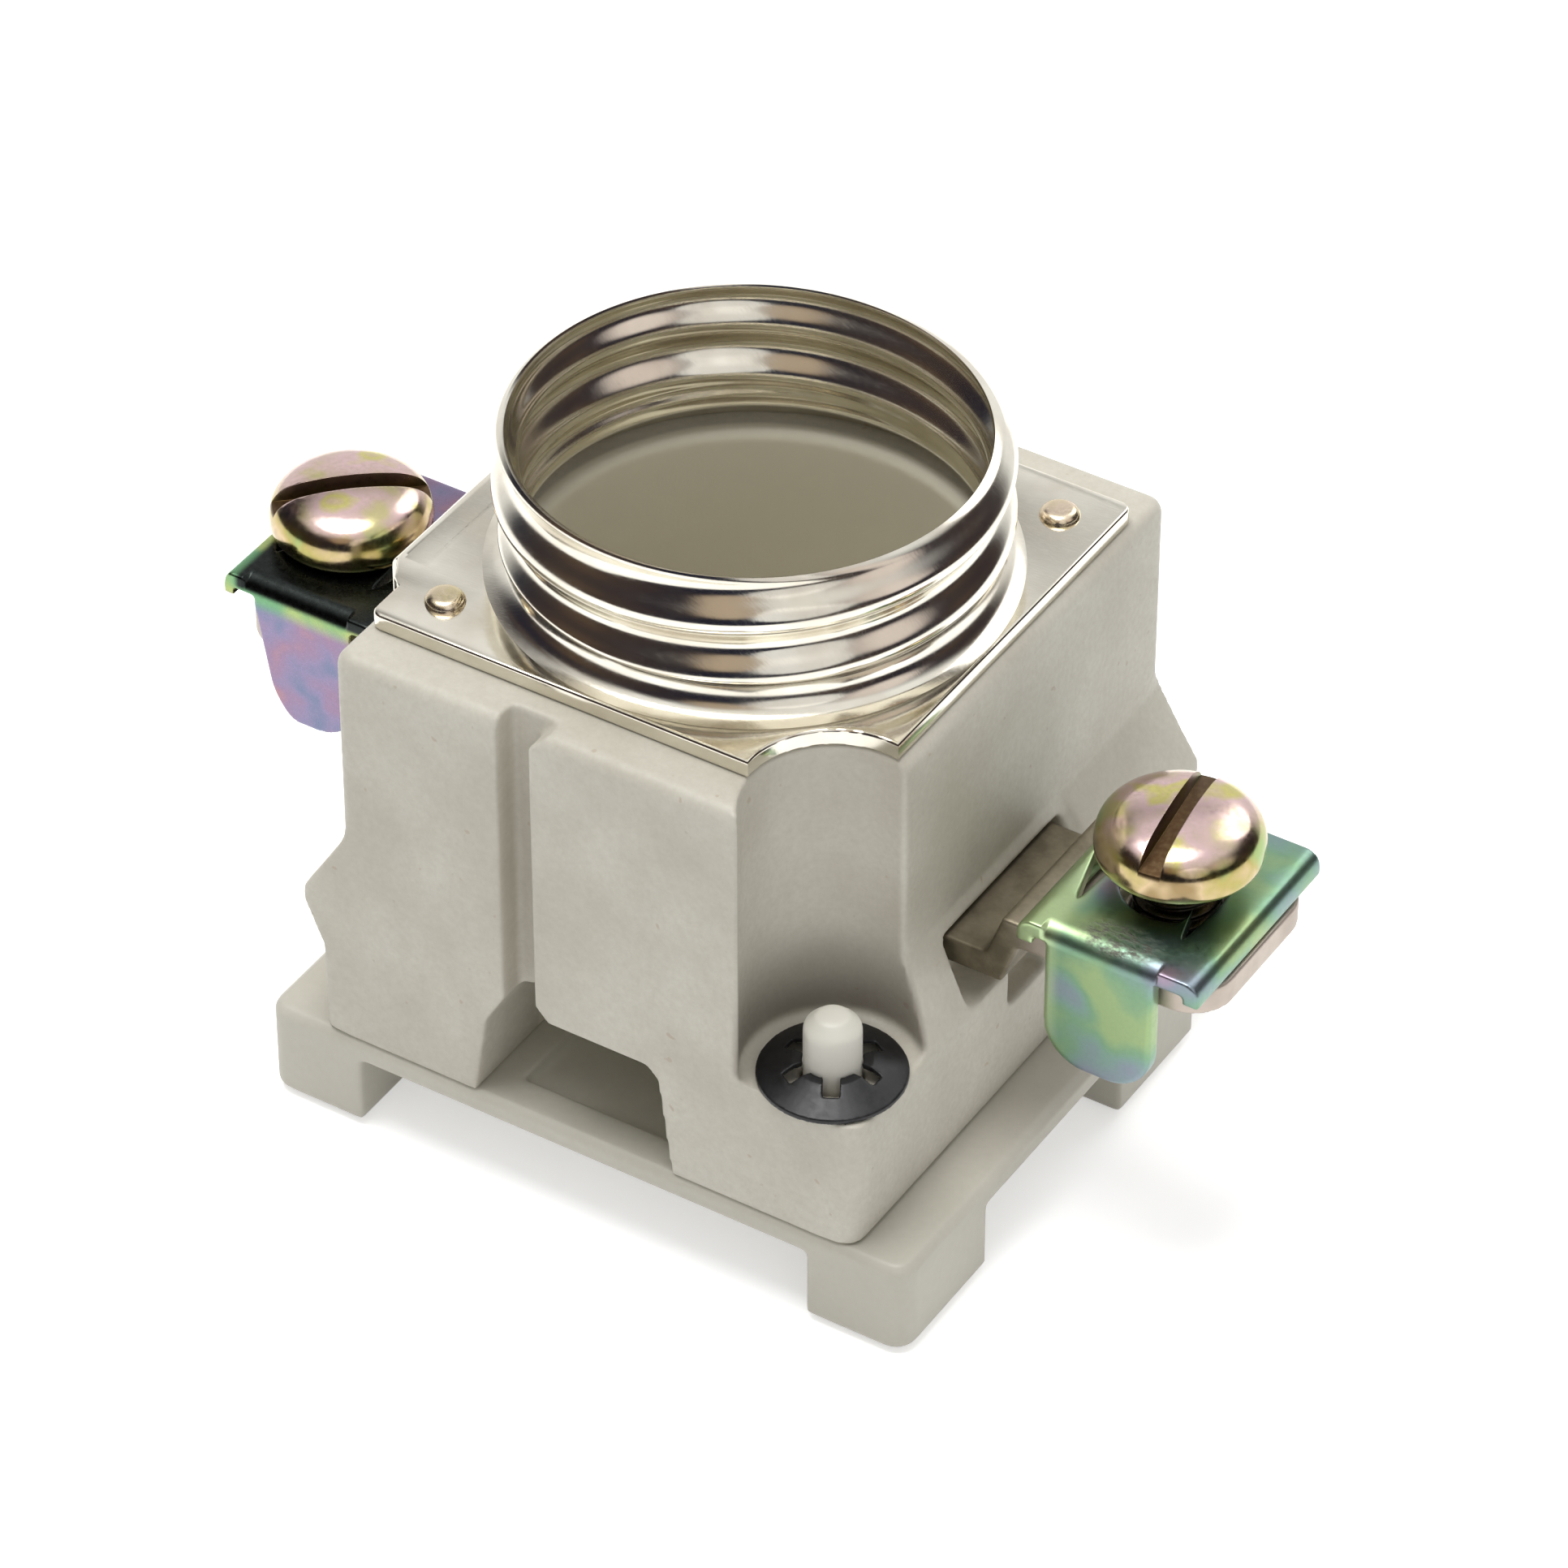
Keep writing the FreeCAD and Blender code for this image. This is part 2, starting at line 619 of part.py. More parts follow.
# Threaded shell: rolled sheet on a square flange, with a strap to the left terminal
def shell_profile(body):
    """The rolled wall as one outline: a flare onto the flange, then rings of crest and valley."""
    sketch = new_sketch(body, "shell_profile", "XZ_Plane")
    valley = shell_valley
    wall = []
    for index in range(crest_count):
        crest = first_crest + thread_pitch * index
        wall += [(valley, crest - thread_pitch / 2), (shell_crest, crest)]
    wall += [(valley, crest + thread_pitch / 2), (valley + lip_flare, crest + lip_rise)]
    inner = [(radius - shell_sheet, level_z) for radius, level_z in wall]
    foot = [(valley - shell_sheet, block_top), (valley + shell_flare, block_top), (valley + shell_flare, flange_top)]
    outline(sketch, foot + wall + inner[::-1])
    return sketch


def make_thread_shell():
    body = new_body("thread_shell")
    tip = revolve(body, "Revolution", "shell_wall", shell_profile(body))
    half = flange_half
    top = flange_top
    plate = new_sketch(body, "flange_outline", "XY_Plane", block_top)
    box_outline(plate, -half, -half, half, half)
    circle(plate, (origin_line, origin_line), shell_valley)
    tip = pad(body, "flange", plate, flange_thick)
    tip = dress(body, "Fillet", "flange_corners", tip,
                lambda edge, box: upright(box) and at_both(box.XMax, half) and at_both(box.YMax, half),
                flange_corner)

    strap = new_sketch(body, "strap_profile", "XZ_Plane")
    inside = strap_face - flange_thick
    outline(strap, [
        (-half + strap_root, top), (-half + strap_root, block_top), (-inside, block_top),
        (-inside, strip_level - strip_thick), (-strap_face, strip_level - strip_thick),
        (-strap_face, top)])
    tip = pad(body, "strap", strap, strap_half * 2, midplane=True)
    tip = dress(body, "Fillet", "strap_shoulder", tip,
                lambda edge, box: level(box, top) and near(box.XMin, -strap_face) and near(box.XMax, -strap_face),
                strap_bend)

    cut = new_sketch(body, "flange_notch_outline", "XY_Plane", block_top)
    circle(cut, (pin_x, -pin_y), notch_radius)
    circle(cut, (-pin_x, pin_y), notch_radius)
    tip = pocket(body, "flange_notches", cut, flange_thick, backwards=True)
    holes = new_sketch(body, "flange_screw_outline", "XY_Plane", block_top)
    for sign in (1, -1):
        place = flange_screw_place * sign
        circle(holes, (place, place), flange_screw_diameter / 2)
    tip = pocket(body, "flange_screw_holes", holes, flange_thick, backwards=True)

    strip = new_sketch(body, "left_strip_outline", "XY_Plane", strip_level - strip_thick)
    box_outline(strip, -strip_end, -strip_half, -inside, strip_half)
    circle(strip, (-terminal_x, origin_line), screw_diameter / 2 + screw_play)
    tip = pad(body, "left_strip", strip, strip_thick)
    tip = dress(body, "Fillet", "left_strip_corners", tip,
                lambda edge, box: upright(box) and near(box.XMin, -strip_end), strip_corner)
    return finish_body(body, tip)


# Contact rail: from the bottom of the well out to the right terminal, one bent bar
def make_contact_rail():
    body = new_body("contact_rail")
    bar = new_sketch(body, "rail_profile", "XZ_Plane")
    inner_top = well_floor + strip_thick
    outline(bar, [
        (-chamber_half_x, well_floor), (rail_bend, well_floor), (rail_bend + rail_slope, strip_level - strip_thick),
        (strip_end, strip_level - strip_thick), (strip_end, strip_level), (rail_bend, strip_level),
        (rail_bend - rail_slope, inner_top), (-chamber_half_x, inner_top)])
    tip = pad(body, "rail_bar", bar, strip_half * 2, midplane=True)
    tip = dress(body, "Fillet", "rail_corners", tip,
                lambda edge, box: upright(box) and near(box.XMin, strip_end), strip_corner)
    holes = new_sketch(body, "rail_hole_outline", "XY_Plane", strip_level)
    circle(holes, (terminal_x, origin_line), screw_diameter / 2 + screw_play)
    for sign in (1, -1):
        circle(holes, (contact_screw_place * sign, origin_line), contact_screw_diameter / 2)
    tip = pocket(body, "rail_holes", holes, strip_level - well_floor)
    return finish_body(body, tip)


# Saddles: bent clamping plates with turned-down wings, two slits and a tab
def make_saddle(name, side):
    """side is 1 for the right terminal and -1 for the left one, its mirror image."""
    body = new_body(name)
    under = saddle_top - saddle_sheet
    mid_x = (saddle_inner + saddle_outer) / 2
    channel = new_sketch(body, name + "_profile", "XZ_Plane", saddle_front)
    outline(channel, [
        (saddle_inner * side, saddle_wing), (saddle_inner * side, saddle_top),
        (saddle_outer * side, saddle_top), (saddle_outer * side, saddle_wing),
        ((saddle_outer - saddle_sheet) * side, saddle_wing), ((saddle_outer - saddle_sheet) * side, under),
        ((saddle_inner + saddle_sheet) * side, under), ((saddle_inner + saddle_sheet) * side, saddle_wing)])
    tip = pad(body, name + "_plate", channel, saddle_front + saddle_rear, backwards=True)
    tip = dress(body, "Fillet", name + "_folds", tip,
                lambda edge, box: level(box, saddle_top) and box.XLength < 0.02, saddle_round)
    tab = new_sketch(body, name + "_tab_outline", "XZ_Plane", saddle_front)
    inner, outer = tab_inner * side, tab_outer * side
    outline(tab, [(inner, saddle_top), (inner, tab_foot), (outer, tab_foot), (outer, saddle_top)])
    tip = pad(body, name + "_tab", tab, saddle_sheet, backwards=True)
    tip = dress(body, "Fillet", name + "_tab_corners", tip,
                lambda edge, box: level(box, tab_foot) and box.XLength < 0.02, tab_corner)
    holes = new_sketch(body, name + "_hole_outline", "XY_Plane", saddle_top)
    circle(holes, (terminal_x * side, origin_line), screw_diameter / 2 + saddle_play)
    for sign in (1, -1):
        middle = (mid_x + slit_spread * sign) * side
        box_outline(holes, middle - slit_width / 2, -slit_half, middle + slit_width / 2, slit_half)
    tip = pocket(body, name + "_holes", holes, saddle_sheet)
    if side < 0:
        body.Placement.Base = VEC(left_saddle_shift.number, 0, left_saddle_lift.number)
        body.setExpression("Placement.Base.x", left_saddle_shift.text)
        body.setExpression("Placement.Base.z", left_saddle_lift.text)
    return finish_body(body, tip)


# Terminal screws: domed slotted heads on plain shanks
def make_terminal_screw(name, side, slot_turn):
    body = new_body(name)
    radius = head_diameter / 2
    shank = screw_diameter / 2
    profile = new_sketch(body, name + "_profile", "XZ_Plane")
    outline(profile, [
        (origin_line, screw_end), (shank, screw_end), (shank, head_seat), (radius, head_seat), (radius, head_side),
        (radius - dome_step, head_top), (origin_line, head_top)])
    revolve(body, "Revolution", name + "_turned", profile)
    slot = new_sketch(body, name + "_slot_outline", "XY_Plane", head_top)
    box_outline(slot, -radius - beyond, -head_slot / 2, radius + beyond, head_slot / 2)
    tip = pocket(body, name + "_slot", slot, head_slot_depth)
    finish_body(body, tip)
    place = terminal_x * side
    body.Placement = FreeCAD.Placement(VEC(place.number, 0, 0), FreeCAD.Rotation(VEC(0, 0, 1), slot_turn.number))
    body.setExpression("Placement.Base.x", place.text)
    body.setExpression("Placement.Rotation.Angle", slot_turn.text)
    return body


# Small screws from below: a cylinder head under a plain shank
def make_small_screw(name, diameter, head, head_thick, seat, top, x_place, y_place):
    body = new_body(name)
    profile = new_sketch(body, name + "_profile", "XZ_Plane")
    outline(profile, [
        (origin_line, seat - head_thick), (head / 2, seat - head_thick), (head / 2, seat),
        (diameter / 2, seat), (diameter / 2, top), (origin_line, top)])
    tip = revolve(body, "Revolution", name + "_turned", profile)
    finish_body(body, tip)
    body.Placement.Base = VEC(x_place.number, y_place.number, 0)
    body.setExpression("Placement.Base.x", x_place.text)
    body.setExpression("Placement.Base.y", y_place.text)
    return body


def make_all():
    pieces = [make_base_plate(), make_ceramic(), make_thread_shell(), make_contact_rail()]
    pieces.append(make_washer("push_washer_front", pin_x, -pin_y))
    pieces.append(make_washer("push_washer_rear", -pin_x, pin_y))
    pieces.append(make_saddle("saddle_left", -1))
    pieces.append(make_saddle("saddle_right", 1))
    pieces.append(make_terminal_screw("terminal_screw_left", -1, slot_turn_left))
    pieces.append(make_terminal_screw("terminal_screw_right", 1, slot_turn_right))
    for name, sign in (("flange_screw_left", -1), ("flange_screw_right", 1)):
        place = flange_screw_place * sign
        pieces.append(make_small_screw(
            name, flange_screw_diameter, flange_screw_head, flange_head_thick,
            flange_screw_seat, flange_screw_top, place, place))
    for name, sign in (("contact_screw_left", -1), ("contact_screw_right", 1)):
        place = contact_screw_place * sign
        pieces.append(make_small_screw(
            name, contact_screw_diameter, contact_screw_head, contact_head_thick,
            chamber_top, contact_screw_top, place, origin_line))
    return pieces


def check_and_write(pieces):
    doc.recompute()
    for item in doc.Objects:
        if "Invalid" in item.State or "Error" in item.State:
            raise ValueError(f"{item.Name} did not recompute: {item.State}")
    os.makedirs("parts", exist_ok=True)
    for piece in pieces:
        if piece.Shape.isNull() or not piece.Shape.isValid():
            raise ValueError(f"{piece.Label} has no valid shape")
        box = piece.Shape.BoundBox
        print(f"{piece.Label}: {len(piece.Shape.Solids)} solid, {piece.Shape.Volume:.1f} mm3, "
              f"x {box.XMin:.2f} {box.XMax:.2f}, y {box.YMin:.2f} {box.YMax:.2f}, z {box.ZMin:.2f} {box.ZMax:.2f}")
        piece.Shape.exportStep(f"parts/{piece.Label}.step")


check_and_write(make_all())
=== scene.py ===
# %% [markdown]
# # A ceramic fuse base in the studio
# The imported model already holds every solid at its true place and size. This lesson loads it,
# stands a camera where the photographer stood, and gives each piece the surface that the solids
# leave plain: the rolled thread, the soft edges of fired ceramic, and the plated metals.

# %% Load the frame
import math
import bmesh
import bpy
from mathutils import Matrix, Vector


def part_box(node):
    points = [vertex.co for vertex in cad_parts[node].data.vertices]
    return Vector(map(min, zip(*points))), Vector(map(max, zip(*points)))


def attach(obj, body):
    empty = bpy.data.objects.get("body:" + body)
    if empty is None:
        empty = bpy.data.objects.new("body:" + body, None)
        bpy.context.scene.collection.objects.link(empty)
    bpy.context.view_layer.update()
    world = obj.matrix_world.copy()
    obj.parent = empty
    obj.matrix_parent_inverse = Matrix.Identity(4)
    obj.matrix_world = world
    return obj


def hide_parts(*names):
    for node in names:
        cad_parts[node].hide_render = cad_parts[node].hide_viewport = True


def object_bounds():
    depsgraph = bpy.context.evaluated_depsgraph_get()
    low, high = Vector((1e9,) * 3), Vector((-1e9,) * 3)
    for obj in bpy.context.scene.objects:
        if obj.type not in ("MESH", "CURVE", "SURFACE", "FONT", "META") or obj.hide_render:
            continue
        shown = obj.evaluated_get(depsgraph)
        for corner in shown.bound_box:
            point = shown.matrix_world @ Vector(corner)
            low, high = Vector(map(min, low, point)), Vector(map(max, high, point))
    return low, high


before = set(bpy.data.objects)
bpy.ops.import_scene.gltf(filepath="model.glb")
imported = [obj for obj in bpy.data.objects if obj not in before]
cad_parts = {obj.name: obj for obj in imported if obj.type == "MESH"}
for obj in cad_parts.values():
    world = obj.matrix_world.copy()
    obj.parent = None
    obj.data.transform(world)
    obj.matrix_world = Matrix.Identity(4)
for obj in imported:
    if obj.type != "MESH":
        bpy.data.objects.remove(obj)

MM = 0.001
PIN_X, PIN_Y = 17.0, 17.55
TERMINAL_X = 32.3
SLOT_TURN = {"left": 42.0, "right": 97.5}
CAD_BOX = [list(corner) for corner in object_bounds()]
BASE, LEFT_SADDLE, RIGHT_SADDLE = "base", "left_saddle", "right_saddle"
LEFT_SCREW, RIGHT_SCREW = "left_screw", "right_screw"
print("nodes:", sorted(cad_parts))

# %% [markdown]
# ## The camera
# A long lens half a metre away gives the gentle perspective of a product picture. The direction
# is set by two angles, so the camera is one vector from the point that it aims at.

# %% Camera
AZIMUTH = math.radians(32.167)
ELEVATION = math.radians(39.488)
DISTANCE = 500 * MM
AIM = Vector((2.62, -0.58, 18.16)) * MM
LENS = 172.85

camera_data = bpy.data.cameras.new("camera")
camera_data.lens = LENS
camera_data.sensor_width = 36
camera_data.clip_start = 0.01
camera = bpy.data.objects.new("camera", camera_data)
bpy.context.scene.collection.objects.link(camera)
sight = Vector((math.sin(AZIMUTH) * math.cos(ELEVATION), -math.cos(AZIMUTH) * math.cos(ELEVATION),
                math.sin(ELEVATION)))
camera.location = AIM + sight * DISTANCE
camera.rotation_euler = sight.to_track_quat("Z", "Y").to_euler()
bpy.context.scene.camera = camera
print("camera at", [round(value, 4) for value in camera.location])

# %% [markdown]
# ## Shader building blocks
# Every finish here is a handful of noise patterns mixed by hand. One small class keeps the
# recipes readable: it adds nodes, fills their inputs, and has short names for noise, blends,
# ramps, sums and bumps.


# %% Shader helpers
class Recipe:
    """A material's node tree with short names for what the recipes use again and again."""

    def __init__(self, name, owner=None, place="Object"):
        self.material = owner or bpy.data.materials.new(name)
        self.material.use_nodes = True
        self.tree = self.material.node_tree
        self.shader = self.tree.nodes.get("Principled BSDF")
        self.place = self.node("ShaderNodeTexCoord").outputs[place]

    def node(self, kind, settings=None, **inputs):
        made = self.tree.nodes.new(kind)
        for key, value in (settings or {}).items():
            setattr(made, key, value)
        for key, value in inputs.items():
            self.feed(made.inputs[key.replace("_", " ")], value)
        return made

    def feed(self, socket, value):
        if isinstance(value, bpy.types.NodeSocket):
            self.tree.links.new(value, socket)
        else:
            socket.default_value = value

    def noise(self, size_mm, detail=2.0, rough=0.5, stretch=(1, 1, 1), seed=0.0):
        """Noise whose lumps are about size_mm across."""
        mapped = self.node("ShaderNodeMapping", Vector=self.place, Scale=stretch,
                           Location=(seed, seed * 0.7, seed * 0.3))
        made = self.node("ShaderNodeTexNoise", Vector=mapped.outputs[0], Scale=1 / (size_mm * MM),
                         Detail=detail, Roughness=rough)
        return made.outputs["Fac"]

    def span(self, value, low, high, new_low=0.0, new_high=1.0):
        made = self.node("ShaderNodeMapRange", Value=value, From_Min=low, From_Max=high,
                         To_Min=new_low, To_Max=new_high)
        return made.outputs["Result"]

    def blend(self, share, first, second, way="MIX"):
        made = self.node("ShaderNodeMix", {"data_type": "RGBA", "blend_type": way})
        self.feed(made.inputs["Factor"], share)
        self.feed(made.inputs[6], first)
        self.feed(made.inputs[7], second)
        return made.outputs[2]

    def ease(self, value, low, high):
        """0 below low, 1 above high, and a soft S between."""
        made = self.node("ShaderNodeMapRange", {"interpolation_type": "SMOOTHSTEP"},
                         Value=value, From_Min=low, From_Max=high)
        return made.outputs["Result"]

    def along(self, direction):
        """How far the coordinate reaches along a direction."""
        made = self.node("ShaderNodeVectorMath", {"operation": "DOT_PRODUCT"})
        self.feed(made.inputs[0], self.place)
        self.feed(made.inputs[1], direction)
        return made.outputs["Value"]

    def ramp(self, value, stops):
        made = self.node("ShaderNodeValToRGB", Fac=value)
        points = made.color_ramp.elements
        while len(points) < len(stops):
            points.new(0.5)
        for point, (at, colour) in zip(points, stops):
            point.position = at
            point.color = colour
        return made.outputs["Color"]

    def sums(self, operation, first, second=0.0):
        made = self.node("ShaderNodeMath", {"operation": operation})
        self.feed(made.inputs[0], first)
        self.feed(made.inputs[1], second)
        return made.outputs[0]

    def bump(self, height, depth_mm, strength=1.0, under=None):
        made = self.node("ShaderNodeBump", Height=height, Distance=depth_mm * MM, Strength=strength)
        if under is not None:
            self.feed(made.inputs["Normal"], under)
        return made.outputs["Normal"]

    def finish(self, **inputs):
        for key, value in inputs.items():
            self.feed(self.shader.inputs[key.replace("_", " ")], value)
        return self.material


def tint(red, green, blue):
    """A colour given as it looks on a screen, 0 to 255, turned into the linear values shaders use."""
    def linear(value):
        share = value / 255
        return share / 12.92 if share <= 0.04045 else ((share + 0.055) / 1.055) ** 2.4
    return linear(red), linear(green), linear(blue), 1.0


# %% [markdown]
# ## The ceramic and the plastic
# Unglazed steatite is a dense, slightly waxy grey. Close up it is never one colour: the firing
# leaves pale and dark clouds a few millimetres wide, fine grain, and here and there an iron speck.
# The plastic plate is creamier and more even.


# %% Ceramic and plastic
def ceramic_finish():
    mix = Recipe("fired_ceramic")
    clouds = mix.noise(9.0, 3.0, 0.55)
    grain = mix.noise(0.45, 3.0, 0.65, seed=3.0)
    colour = mix.blend(mix.span(clouds, 0.35, 0.65), tint(191, 186, 172), tint(204, 200, 187))
    colour = mix.blend(mix.span(grain, 0.30, 0.72, 0.0, 0.30), colour, tint(172, 165, 150))
    specks = mix.span(mix.noise(0.9, 1.0, 0.4, seed=7.0), 0.76, 0.80)
    colour = mix.blend(mix.sums("MULTIPLY", specks, 0.35), colour, tint(158, 128, 98))
    across = mix.node("ShaderNodeSeparateXYZ", Vector=mix.place).outputs
    reach = mix.sums("SQRT", mix.sums("ADD", mix.sums("MULTIPLY", across["X"], across["X"]),
                                      mix.sums("MULTIPLY", across["Y"], across["Y"])))
    # painted light: inside the well the ceramic is painted paler and warmer, for light that reaches down into
    # it
    painted_light_in_well = mix.sums("SUBTRACT", 1.0, mix.ease(reach, 16.2 * MM, 16.6 * MM))
    colour = mix.blend(mix.sums("MULTIPLY", painted_light_in_well, 0.9), colour, tint(224, 219, 200))
    # painted shade in the two notches, darkest where their walls meet the floor under the washers
    from_pin = [mix.sums("SUBTRACT", mix.sums("ABSOLUTE", across[axis]), place * MM)
                for axis, place in (("X", PIN_X), ("Y", PIN_Y))]
    from_pin = mix.sums("SQRT", mix.sums("ADD", mix.sums("MULTIPLY", from_pin[0], from_pin[0]),
                                         mix.sums("MULTIPLY", from_pin[1], from_pin[1])))
    notch = mix.sums("SUBTRACT", 1.0, mix.ease(from_pin, 6.2 * MM, 6.7 * MM))
    diagonal = mix.sums("ABSOLUTE", mix.along((1, -1, 0)))
    notch = mix.sums("MULTIPLY", notch, mix.ease(diagonal, 15 * MM, 20 * MM))
    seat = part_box("push_washer_front")[0].z
    notch_shade = mix.sums("MULTIPLY", mix.ease(across["Z"], seat + 0.2 * MM, seat + 0.9 * MM),
                     mix.sums("SUBTRACT", 1.0, mix.ease(across["Z"], seat + 0.5 * MM, seat + 8.5 * MM)))
    notch_shade = mix.sums("MULTIPLY", mix.sums("MULTIPLY", notch, notch_shade), mix.span(clouds, 0.3, 0.7, 0.45, 0.75))
    colour = mix.blend(notch_shade, colour, tint(112, 100, 90))
    pores = mix.noise(0.22, 2.0, 0.6, seed=11.0)
    normal = mix.bump(pores, 0.02, 0.5, mix.bump(clouds, 0.25, 0.25))
    return mix.finish(Base_Color=colour, Roughness=mix.span(grain, 0.3, 0.7, 0.42, 0.58), Normal=normal,
                      Specular_IOR_Level=0.5)


def plastic_finish():
    mix = Recipe("cream_plastic")
    clouds = mix.noise(14.0, 2.0, 0.5, seed=2.0)
    grain = mix.noise(0.6, 3.0, 0.6, seed=5.0)
    colour = mix.blend(mix.span(clouds, 0.3, 0.7), tint(187, 183, 170), tint(197, 193, 181))
    colour = mix.blend(mix.span(grain, 0.35, 0.75, 0.0, 0.2), colour, tint(174, 170, 155))
    pin = mix.ease(mix.along((0, 0, 1)), 12.4 * MM, 13.4 * MM)
    colour = mix.blend(pin, colour, tint(214, 211, 200))
    normal = mix.bump(grain, 0.015, 0.4)
    return mix.finish(Base_Color=colour, Roughness=mix.span(clouds, 0.3, 0.7, 0.40, 0.52), Normal=normal,
                      Specular_IOR_Level=0.5)


ceramic = ceramic_finish()
plastic = plastic_finish()
print("finishes:", ceramic.name, plastic.name)

# %% [markdown]
# ## The plated metals
# Nickel is a warm mirror with a faint haze; the bars under the saddles were left dull. Yellow zinc
# passivation is a thin film, so its colour drifts between straw, pink and green across a few
# millimetres. The clamping saddles carry a thicker film that turns green, violet and blue. Spring
# steel washers are simply blackened.


# %% Nickel and dull bars
def nickel_finish():
    mix = Recipe("bright_nickel")
    haze = mix.noise(6.0, 3.0, 0.6, seed=1.0)
    scuffs = mix.noise(0.5, 2.0, 0.6, stretch=(1, 6, 1), seed=4.0)
    colour = mix.blend(mix.span(haze, 0.35, 0.7), tint(232, 228, 215), tint(215, 208, 193))
    rough = mix.sums("ADD", mix.span(haze, 0.3, 0.7, 0.10, 0.20), mix.span(scuffs, 0.5, 0.8, 0.0, 0.08))
    normal = mix.bump(scuffs, 0.004, 0.5, mix.bump(haze, 0.05, 0.35))
    return mix.finish(Base_Color=colour, Metallic=1.0, Roughness=rough, Normal=normal)


def dull_metal_finish():
    """Bars that were never polished: mottled, painted dark brown as shade in their recess, paler outside it
    under the saddles.
    """
    mix = Recipe("dull_metal")
    stains_and_shade = mix.noise(3.0, 4.0, 0.6, seed=17.0)
    skin = mix.noise(0.4, 3.0, 0.6, seed=18.0)
    # painted shade: the mottled tones are dark brown for the shade in the ceramic recess; outside it, under
    # the saddles, the bars are paler
    colour = mix.blend(mix.span(stains_and_shade, 0.35, 0.65), tint(140, 131, 112), tint(104, 97, 80))
    outside = mix.ease(mix.sums("ABSOLUTE", mix.along((1, 0, 0))), 23.5 * MM, 27.5 * MM)
    colour = mix.blend(mix.sums("MULTIPLY", outside, 0.8), colour, tint(198, 186, 176))
    return mix.finish(Base_Color=colour, Metallic=0.9, Roughness=mix.span(stains_and_shade, 0.3, 0.7, 0.42, 0.58),
                      Normal=mix.bump(skin, 0.02, 0.6, mix.bump(stains_and_shade, 0.12, 0.4)))


# %% Yellow zinc
def straw_zinc_finish(name, axis_x, slot_turn):
    """Pink and straw on the worn top of a head, olive gold on its rim, and dark brown painted shade in its
    slot.
    """
    mix = Recipe(name)
    height = mix.along((0, 0, 1))
    drift = mix.noise(3.6, 2.0, 0.5, seed=2.5 + axis_x * 0.01)
    top = mix.ramp(drift, [
        (0.34, tint(196, 186, 140)), (0.44, tint(206, 182, 172)), (0.56, tint(214, 186, 186)),
        (0.66, tint(204, 196, 120)), (0.74, tint(204, 180, 160))])
    rim = mix.ramp(drift, [
        (0.34, tint(150, 172, 112)), (0.46, tint(172, 160, 98)), (0.58, tint(198, 176, 140)),
        (0.70, tint(150, 128, 92))])
    colour = mix.blend(mix.ease(height, 27.3 * MM, 28.3 * MM), rim, top)
    # painted shade: the sawn slot is coloured dark brown
    turn = math.radians(slot_turn)
    across = mix.sums("SUBTRACT", mix.along((-math.sin(turn), math.cos(turn), 0)),
                      -math.sin(turn) * axis_x * MM)
    slot = mix.sums("SUBTRACT", 1.0, mix.ease(mix.sums("ABSOLUTE", across), 0.72 * MM, 0.80 * MM))
    slot = mix.sums("MULTIPLY", slot, mix.ease(height, 26.9 * MM, 27.2 * MM))
    colour = mix.blend(slot, colour, tint(84, 64, 44))
    fine = mix.noise(0.4, 3.0, 0.6, seed=9.0)
    colour = mix.blend(mix.span(fine, 0.4, 0.7, 0.0, 0.15), colour, tint(150, 134, 100))
    rough = mix.sums("ADD", mix.span(fine, 0.3, 0.7, 0.13, 0.24), mix.sums("MULTIPLY", slot, 0.2))
    return mix.finish(Base_Color=colour, Metallic=1.0, Roughness=rough, Normal=mix.bump(fine, 0.004, 0.5))


def pale_zinc_finish(name, light, dark):
    """Small screws and threads: one thin film that drifts between two tones; near-black tones on the threads
    are painted shade.
    """
    mix = Recipe(name)
    drift = mix.noise(1.8, 2.0, 0.5, seed=3.5)
    fine = mix.noise(0.3, 3.0, 0.6, seed=9.5)
    return mix.finish(Base_Color=mix.blend(mix.span(drift, 0.35, 0.65), light, dark), Metallic=1.0,
                      Roughness=mix.span(fine, 0.3, 0.7, 0.16, 0.30), Normal=mix.bump(fine, 0.006, 0.5))


